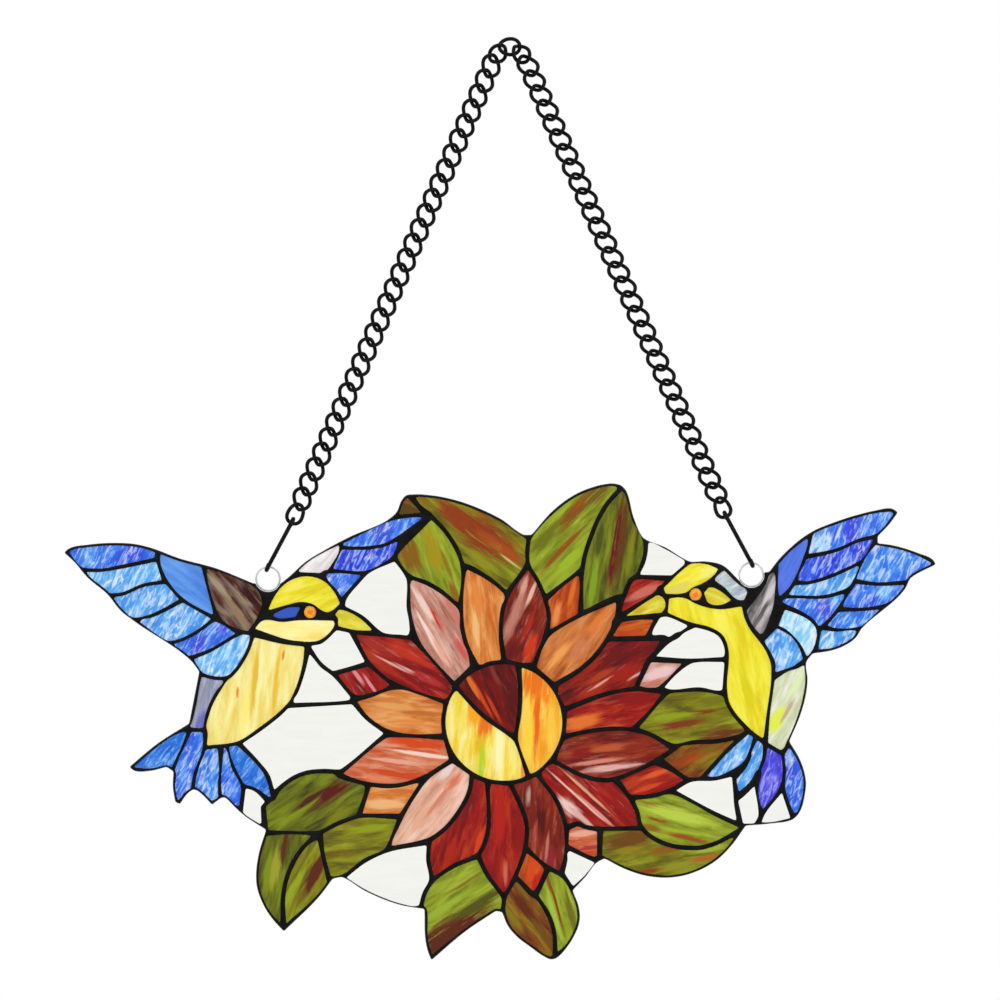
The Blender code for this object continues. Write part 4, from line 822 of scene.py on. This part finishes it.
def metal_material(name, dark, light, metallic, shine, blotch):
    """Blackened or plated metal with uneven colour and polish, in blotches this many mm."""
    shader = Shader(name, Metallic=metallic, Specular_IOR_Level=shine)
    wear = shader.noise(0, blotch, blotch, detail=5, distortion=0.3)
    shader.link(shader.ramp(wear, [(0.4, linear(dark)), (0.72, linear(light))]),
                shader.surface.inputs["Base Color"])
    rough = shader.noise(0, blotch / 2, blotch / 2, detail=3)
    shader.link(shader.ramp(rough, [(0.3, grey(0.35)), (0.7, grey(0.6))]),
                shader.surface.inputs["Roughness"])
    shader.bump(shader.noise(0, length=1.6, width=1.6, detail=4), 0.25, distance=0.3 * MM)
    return shader.material


# ---------- the object's pieces

EYE_SIDES = 48
EYE_WALL = 0.9                  # height of the eye's upright edge, in glass thicknesses
EYE_ARCS = range(6, 90, 7)      # degrees up the dome, one ring of points each
EYE_HOLE_SIDES = 40
EYE_FOIL = 0.1                  # between the eye and the solder
EYE_HEART = 2.4

LINK_WIRE = 1.25                # half the wire's thickness, as for the other wires
LINK_HALF_LENGTH = 6.5
LINK_HALF_WIDTH = 5.1
LINK_POINTS = 32
LINK_FULLNESS = 0.85            # under 1 gives a link's oval fuller corners
LINK_TWIST = 45                 # degrees, each end of a link about its length
LEANING_HALF_LENGTH = 7.3
LEAN = 30                       # degrees, the links of a strand from its line
HANGING_TWIST = -60             # degrees, the end of a strand that goes through the top link
FIRST_LINK_PLAY = 0.4
LINKS_PER_SIDE = 32
TOP_LINK = Vector((3.9, 435.3, 0))
TOP_HALF_LENGTH = 6.6
TOP_TWIST = 35
BESIDE_THE_HOOK = Vector((3.4, 0, 0))
HUNG_FROM = {"left": TOP_LINK - BESIDE_THE_HOOK, "right": TOP_LINK + BESIDE_THE_HOOK}
SECOND_LINKS = {"left": Vector((-8.1, 422.7, 0)), "right": Vector((15.7, 423.0, 0))}
LAST_LINKS = {"left": Vector((-134.0, 134.5, 0)), "right": Vector((140.8, 138.6, 0))}

RINGS = {"left": (-151.7, 92.7), "right": (159.5, 95.4)}
RING_RADIUS = 7.6
RING_WIRE = 0.6
RING_POINTS = 64
HOOK_WIRE = 1.4
HOOK_CURL = 3.4
HOOK_ARCS = range(-18, 199, 9)  # degrees round each end of a hook, one point each
GAP = 0.3                       # between a hook and what it holds


def build_glass(nodes):
    """Every pane from its outline in the frame. Returns the outlines used."""
    outlines = []
    for node_name, specs in PANES.items():
        loops = [loop for loop in outlines_at(nodes[node_name], GLASS_FACE)
                 if area(loop) > SMALLEST_PANE]
        for i, loop in enumerate(loops):
            middle = centroid(loop)
            nearest = min(specs, key=lambda spec: math.dist(spec[:2], middle))
            recipe, degrees, *patches = nearest[2:]
            loop = curved(grown(loop, SHOWN))
            outlines.append(loop)
            name = f"{node_name}_pane_{i + 1}" if len(loops) > 1 else f"{node_name}_pane"
            pane = glass_pane(name, loop, GLASS[recipe][0], math.radians(degrees),
                              glass_material(name, recipe, degrees, patches))
            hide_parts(node_name)
    return outlines


def eye_material(name, centre):
    """Golden glass with an orange heart."""
    shader = Shader(name, Roughness=0.08, IOR=1.5, Transmission_Weight=0.3,
                    Specular_IOR_Level=0.3)
    still = shader.noise(0, length=4, width=4, detail=3)
    body = shader.ramp(still, [(0.35, linear("F8A018")), (0.65, linear("FFB82C"))])
    heart = shader.patch(centre.x, centre.y, EYE_HEART, EYE_HEART, 0, still)
    shader.link(shader.mixed(heart, body, linear("F07800")), shader.surface.inputs["Base Color"])
    return shader.material


def build_eye(node_name):
    """A round jewel: a smooth dome on an upright edge. Returns the circle the solder leaves."""
    low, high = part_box(node_name)
    centre = plane(Vector([(a + b) / 2 for a, b in zip(low, high)]))
    radius = (high[0] - low[0]) / 2 / MM
    top = -low[1] / MM
    rings = [(radius, -GLASS_FACE), (radius, EYE_WALL * GLASS_FACE)]
    rings += [(radius * math.cos(math.radians(a)),
               GLASS_FACE + (top - GLASS_FACE) * math.sin(math.radians(a))) for a in EYE_ARCS]
    verts = [space(*place, height) for ring_radius, height in rings
             for place in circle(centre.x, centre.y, ring_radius, EYE_SIDES)]
    faces = [tuple(reversed(range(EYE_SIDES)))]
    for ring in range(len(rings) - 1):
        for i in range(EYE_SIDES):
            a = ring * EYE_SIDES + i
            b = ring * EYE_SIDES + (i + 1) % EYE_SIDES
            faces.append((a, b, b + EYE_SIDES, a + EYE_SIDES))
    faces.append(tuple(range((len(rings) - 1) * EYE_SIDES, len(rings) * EYE_SIDES)))
    mesh = bpy.data.meshes.new(node_name + "_jewel")
    mesh.from_pydata(verts, [], faces)
    mesh.shade_smooth()
    jewel = link_in(bpy.data.objects.new(node_name + "_jewel", mesh),
                    eye_material("glass_" + node_name, centre))
    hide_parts(node_name)
    hole = circle(centre.x, centre.y, radius + EYE_FOIL, EYE_HOLE_SIDES)
    return [Vector(place) for place in hole]


def fuller(share):
    """A sine or cosine changed so that an oval drawn with it has fuller corners."""
    return math.copysign(abs(share) ** LINK_FULLNESS, share)


def link_path(centre, along, half_length, twists, lean=0):
    """A link's wire: a round-ended loop turned by its lean, then twisted about the strand."""
    across = Vector((-along.y, along.x, 0))
    out = Vector((0, 0, 1))
    path = []
    for i in range(LINK_POINTS):
        angle = math.tau * i / LINK_POINTS
        flat = turned(Vector((half_length * fuller(math.cos(angle)),
                              LINK_HALF_WIDTH * fuller(math.sin(angle)))),
                      -math.radians(lean))
        share = (1 + flat.x / half_length) / 2
        twist = math.radians(twists[0] * (1 - share) + twists[1] * share)
        path.append(space(*(centre + along * flat.x + across * math.cos(twist) * flat.y
                            + out * math.sin(twist) * flat.y)))
    return path


def build_chain(material):
    """Two strands of leaning, twisted links. The first of each hangs in the top link."""
    for side, last in LAST_LINKS.items():
        second = SECOND_LINKS[side]
        step = (last - second) / (LINKS_PER_SIDE - 2)
        along = step.normalized()
        reach = second - along * LINK_HALF_LENGTH - HUNG_FROM[side]
        way = reach.normalized()
        half_length = (reach.length + 2 * LINK_HALF_LENGTH - step.length) / 2 + FIRST_LINK_PLAY
        paths = [link_path(HUNG_FROM[side] + way * half_length, way, half_length,
                           (HANGING_TWIST, LINK_TWIST))]
        paths += [link_path(second + step * i, along, LEANING_HALF_LENGTH,
                            (-LINK_TWIST, LINK_TWIST), LEAN) for i in range(LINKS_PER_SIDE - 2)]
        paths.append(link_path(last, along, LINK_HALF_LENGTH, (-LINK_TWIST, 0)))
        strand = wire_curve(f"chain_{side}_links", paths, LINK_WIRE * MM, material, True)
        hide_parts(f"chain_{side}")
    top = wire_curve("chain_top_link_wire",
                     [link_path(TOP_LINK, Vector((1, 0, 0)), TOP_HALF_LENGTH,
                                (-TOP_TWIST, TOP_TWIST))],
                     LINK_WIRE * MM, material, True)
    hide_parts("chain_top_link")


def build_hooks_and_rings(black, silver):
    """The rings on the panel's top edge, and the S-hooks from them to the chain."""
    out = Vector((0, 0, 1))
    for side, centre in RINGS.items():
        path = [space(*place, 0) for place in circle(*centre, RING_RADIUS, RING_POINTS)]
        ring = wire_curve(f"hanging_ring_{side}_wire", [path], RING_WIRE * MM, silver, True)
        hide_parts(f"hanging_ring_{side}")
        along = (LAST_LINKS[side] - SECOND_LINKS[side]).normalized()
        low = (Vector((*centre, 0)) + Vector((0, RING_RADIUS, 0))
               - along * (HOOK_CURL - HOOK_WIRE - RING_WIRE - GAP))
        high = LAST_LINKS[side] + along * (LINK_HALF_LENGTH + HOOK_CURL - HOOK_WIRE
                                           - LINK_WIRE - GAP)
        path = []
        for loop_centre, way in ((low, 1), (high, -1)):
            for angle in map(math.radians, HOOK_ARCS):
                path.append(space(*(loop_centre + out * HOOK_CURL * math.cos(angle)
                                    + along * way * HOOK_CURL * math.sin(angle))))
        hook = wire_curve(f"s_hook_{side}_wire", [path], HOOK_WIRE * MM, black, False)
        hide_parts(f"s_hook_{side}")


# ---------- floor, light and camera

# Metres, and watts
FLOOR_LEVEL = -1.5
FLOOR_REACH = 5.0
PANEL_MIDDLE = (-0.006, 0, -0.4)
KEY_LIGHT = {"place": (-0.7, -1.2, 0.5), "size": (0.5, 0.5), "power": 6}
SIDE_LIGHT = {"place": (1.0, -0.8, -0.2), "size": (0.3, 0.8), "power": 3}
CAMERA_PLACE = (-0.0062, -2.0, -0.2957)
CAMERA_LENS = 111.8             # millimetres


def white_floor():
    """A plain white floor well below the panel, which hangs."""
    mesh = bpy.data.meshes.new("floor")
    mesh.from_pydata([(x * FLOOR_REACH, y * FLOOR_REACH, FLOOR_LEVEL)
                      for x, y in ((-1, -1), (1, -1), (1, 1), (-1, 1))], [], [(0, 1, 2, 3)])
    floor = bpy.data.objects.new("floor", mesh)
    bpy.context.scene.collection.objects.link(floor)
    mesh.materials.append(Shader("floor_white", Base_Color=grey(1), Roughness=1.0,
                                 Specular_IOR_Level=0.0).material)


def area_light(name, place, size, power):
    """A rectangular light that points at the panel's middle."""
    light = bpy.data.lights.new(name, "AREA")
    light.shape = "RECTANGLE"
    light.size, light.size_y = size
    light.energy = power
    lamp = bpy.data.objects.new(name, light)
    bpy.context.scene.collection.objects.link(lamp)
    lamp.location = place
    towards = Vector(PANEL_MIDDLE) - Vector(place)
    lamp.rotation_euler = towards.to_track_quat("-Z", "Y").to_euler()


def light_and_camera():
    """A white studio with two soft lights, and the camera straight before the panel."""
    world = bpy.data.worlds.new("white_studio")
    bpy.context.scene.world = world
    world.use_nodes = True
    world.node_tree.nodes["Background"].inputs["Color"].default_value = grey(1)
    world.node_tree.nodes["Background"].inputs["Strength"].default_value = 1.0
    area_light("key", **KEY_LIGHT)
    area_light("side", **SIDE_LIGHT)
    scene = bpy.context.scene
    camera = bpy.data.objects.new("camera", bpy.data.cameras.new("camera"))
    scene.collection.objects.link(camera)
    camera.location = CAMERA_PLACE
    camera.rotation_euler = (math.radians(90), 0, 0)
    camera.data.lens = CAMERA_LENS
    scene.camera = camera
    scene.render.resolution_x = 1000
    scene.render.resolution_y = 1000
    scene.view_settings.view_transform = "Standard"


# ---------- build

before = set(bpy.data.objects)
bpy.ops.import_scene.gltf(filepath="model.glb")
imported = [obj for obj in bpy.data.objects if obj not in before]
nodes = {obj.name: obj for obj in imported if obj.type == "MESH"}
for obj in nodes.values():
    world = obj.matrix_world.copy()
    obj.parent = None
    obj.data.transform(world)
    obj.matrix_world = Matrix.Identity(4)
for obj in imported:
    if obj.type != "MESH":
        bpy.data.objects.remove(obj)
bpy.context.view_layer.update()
outlines = build_glass(nodes)
outlines += [build_eye(name) for name in ("left_eye", "right_eye")]
rim = max(outlines_at(nodes["solder_lines"], SOLDER_FACE), key=area)
black_patina = metal_material("solder_black_patina", "050504", "141413",
                              metallic=0.4, shine=0.12, blotch=7)
sheet = solder("solder_beads", curved(rim), outlines, black_patina)
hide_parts("solder_lines")
black_steel = metal_material("blackened_steel", "050505", "121212",
                             metallic=0.3, shine=0.12, blotch=5)
silver = metal_material("tinned_wire", "B4B4B4", "E4E4E4", metallic=1.0, shine=0.5, blotch=5)
build_chain(black_steel)
build_hooks_and_rings(black_steel, silver)
white_floor()
light_and_camera()
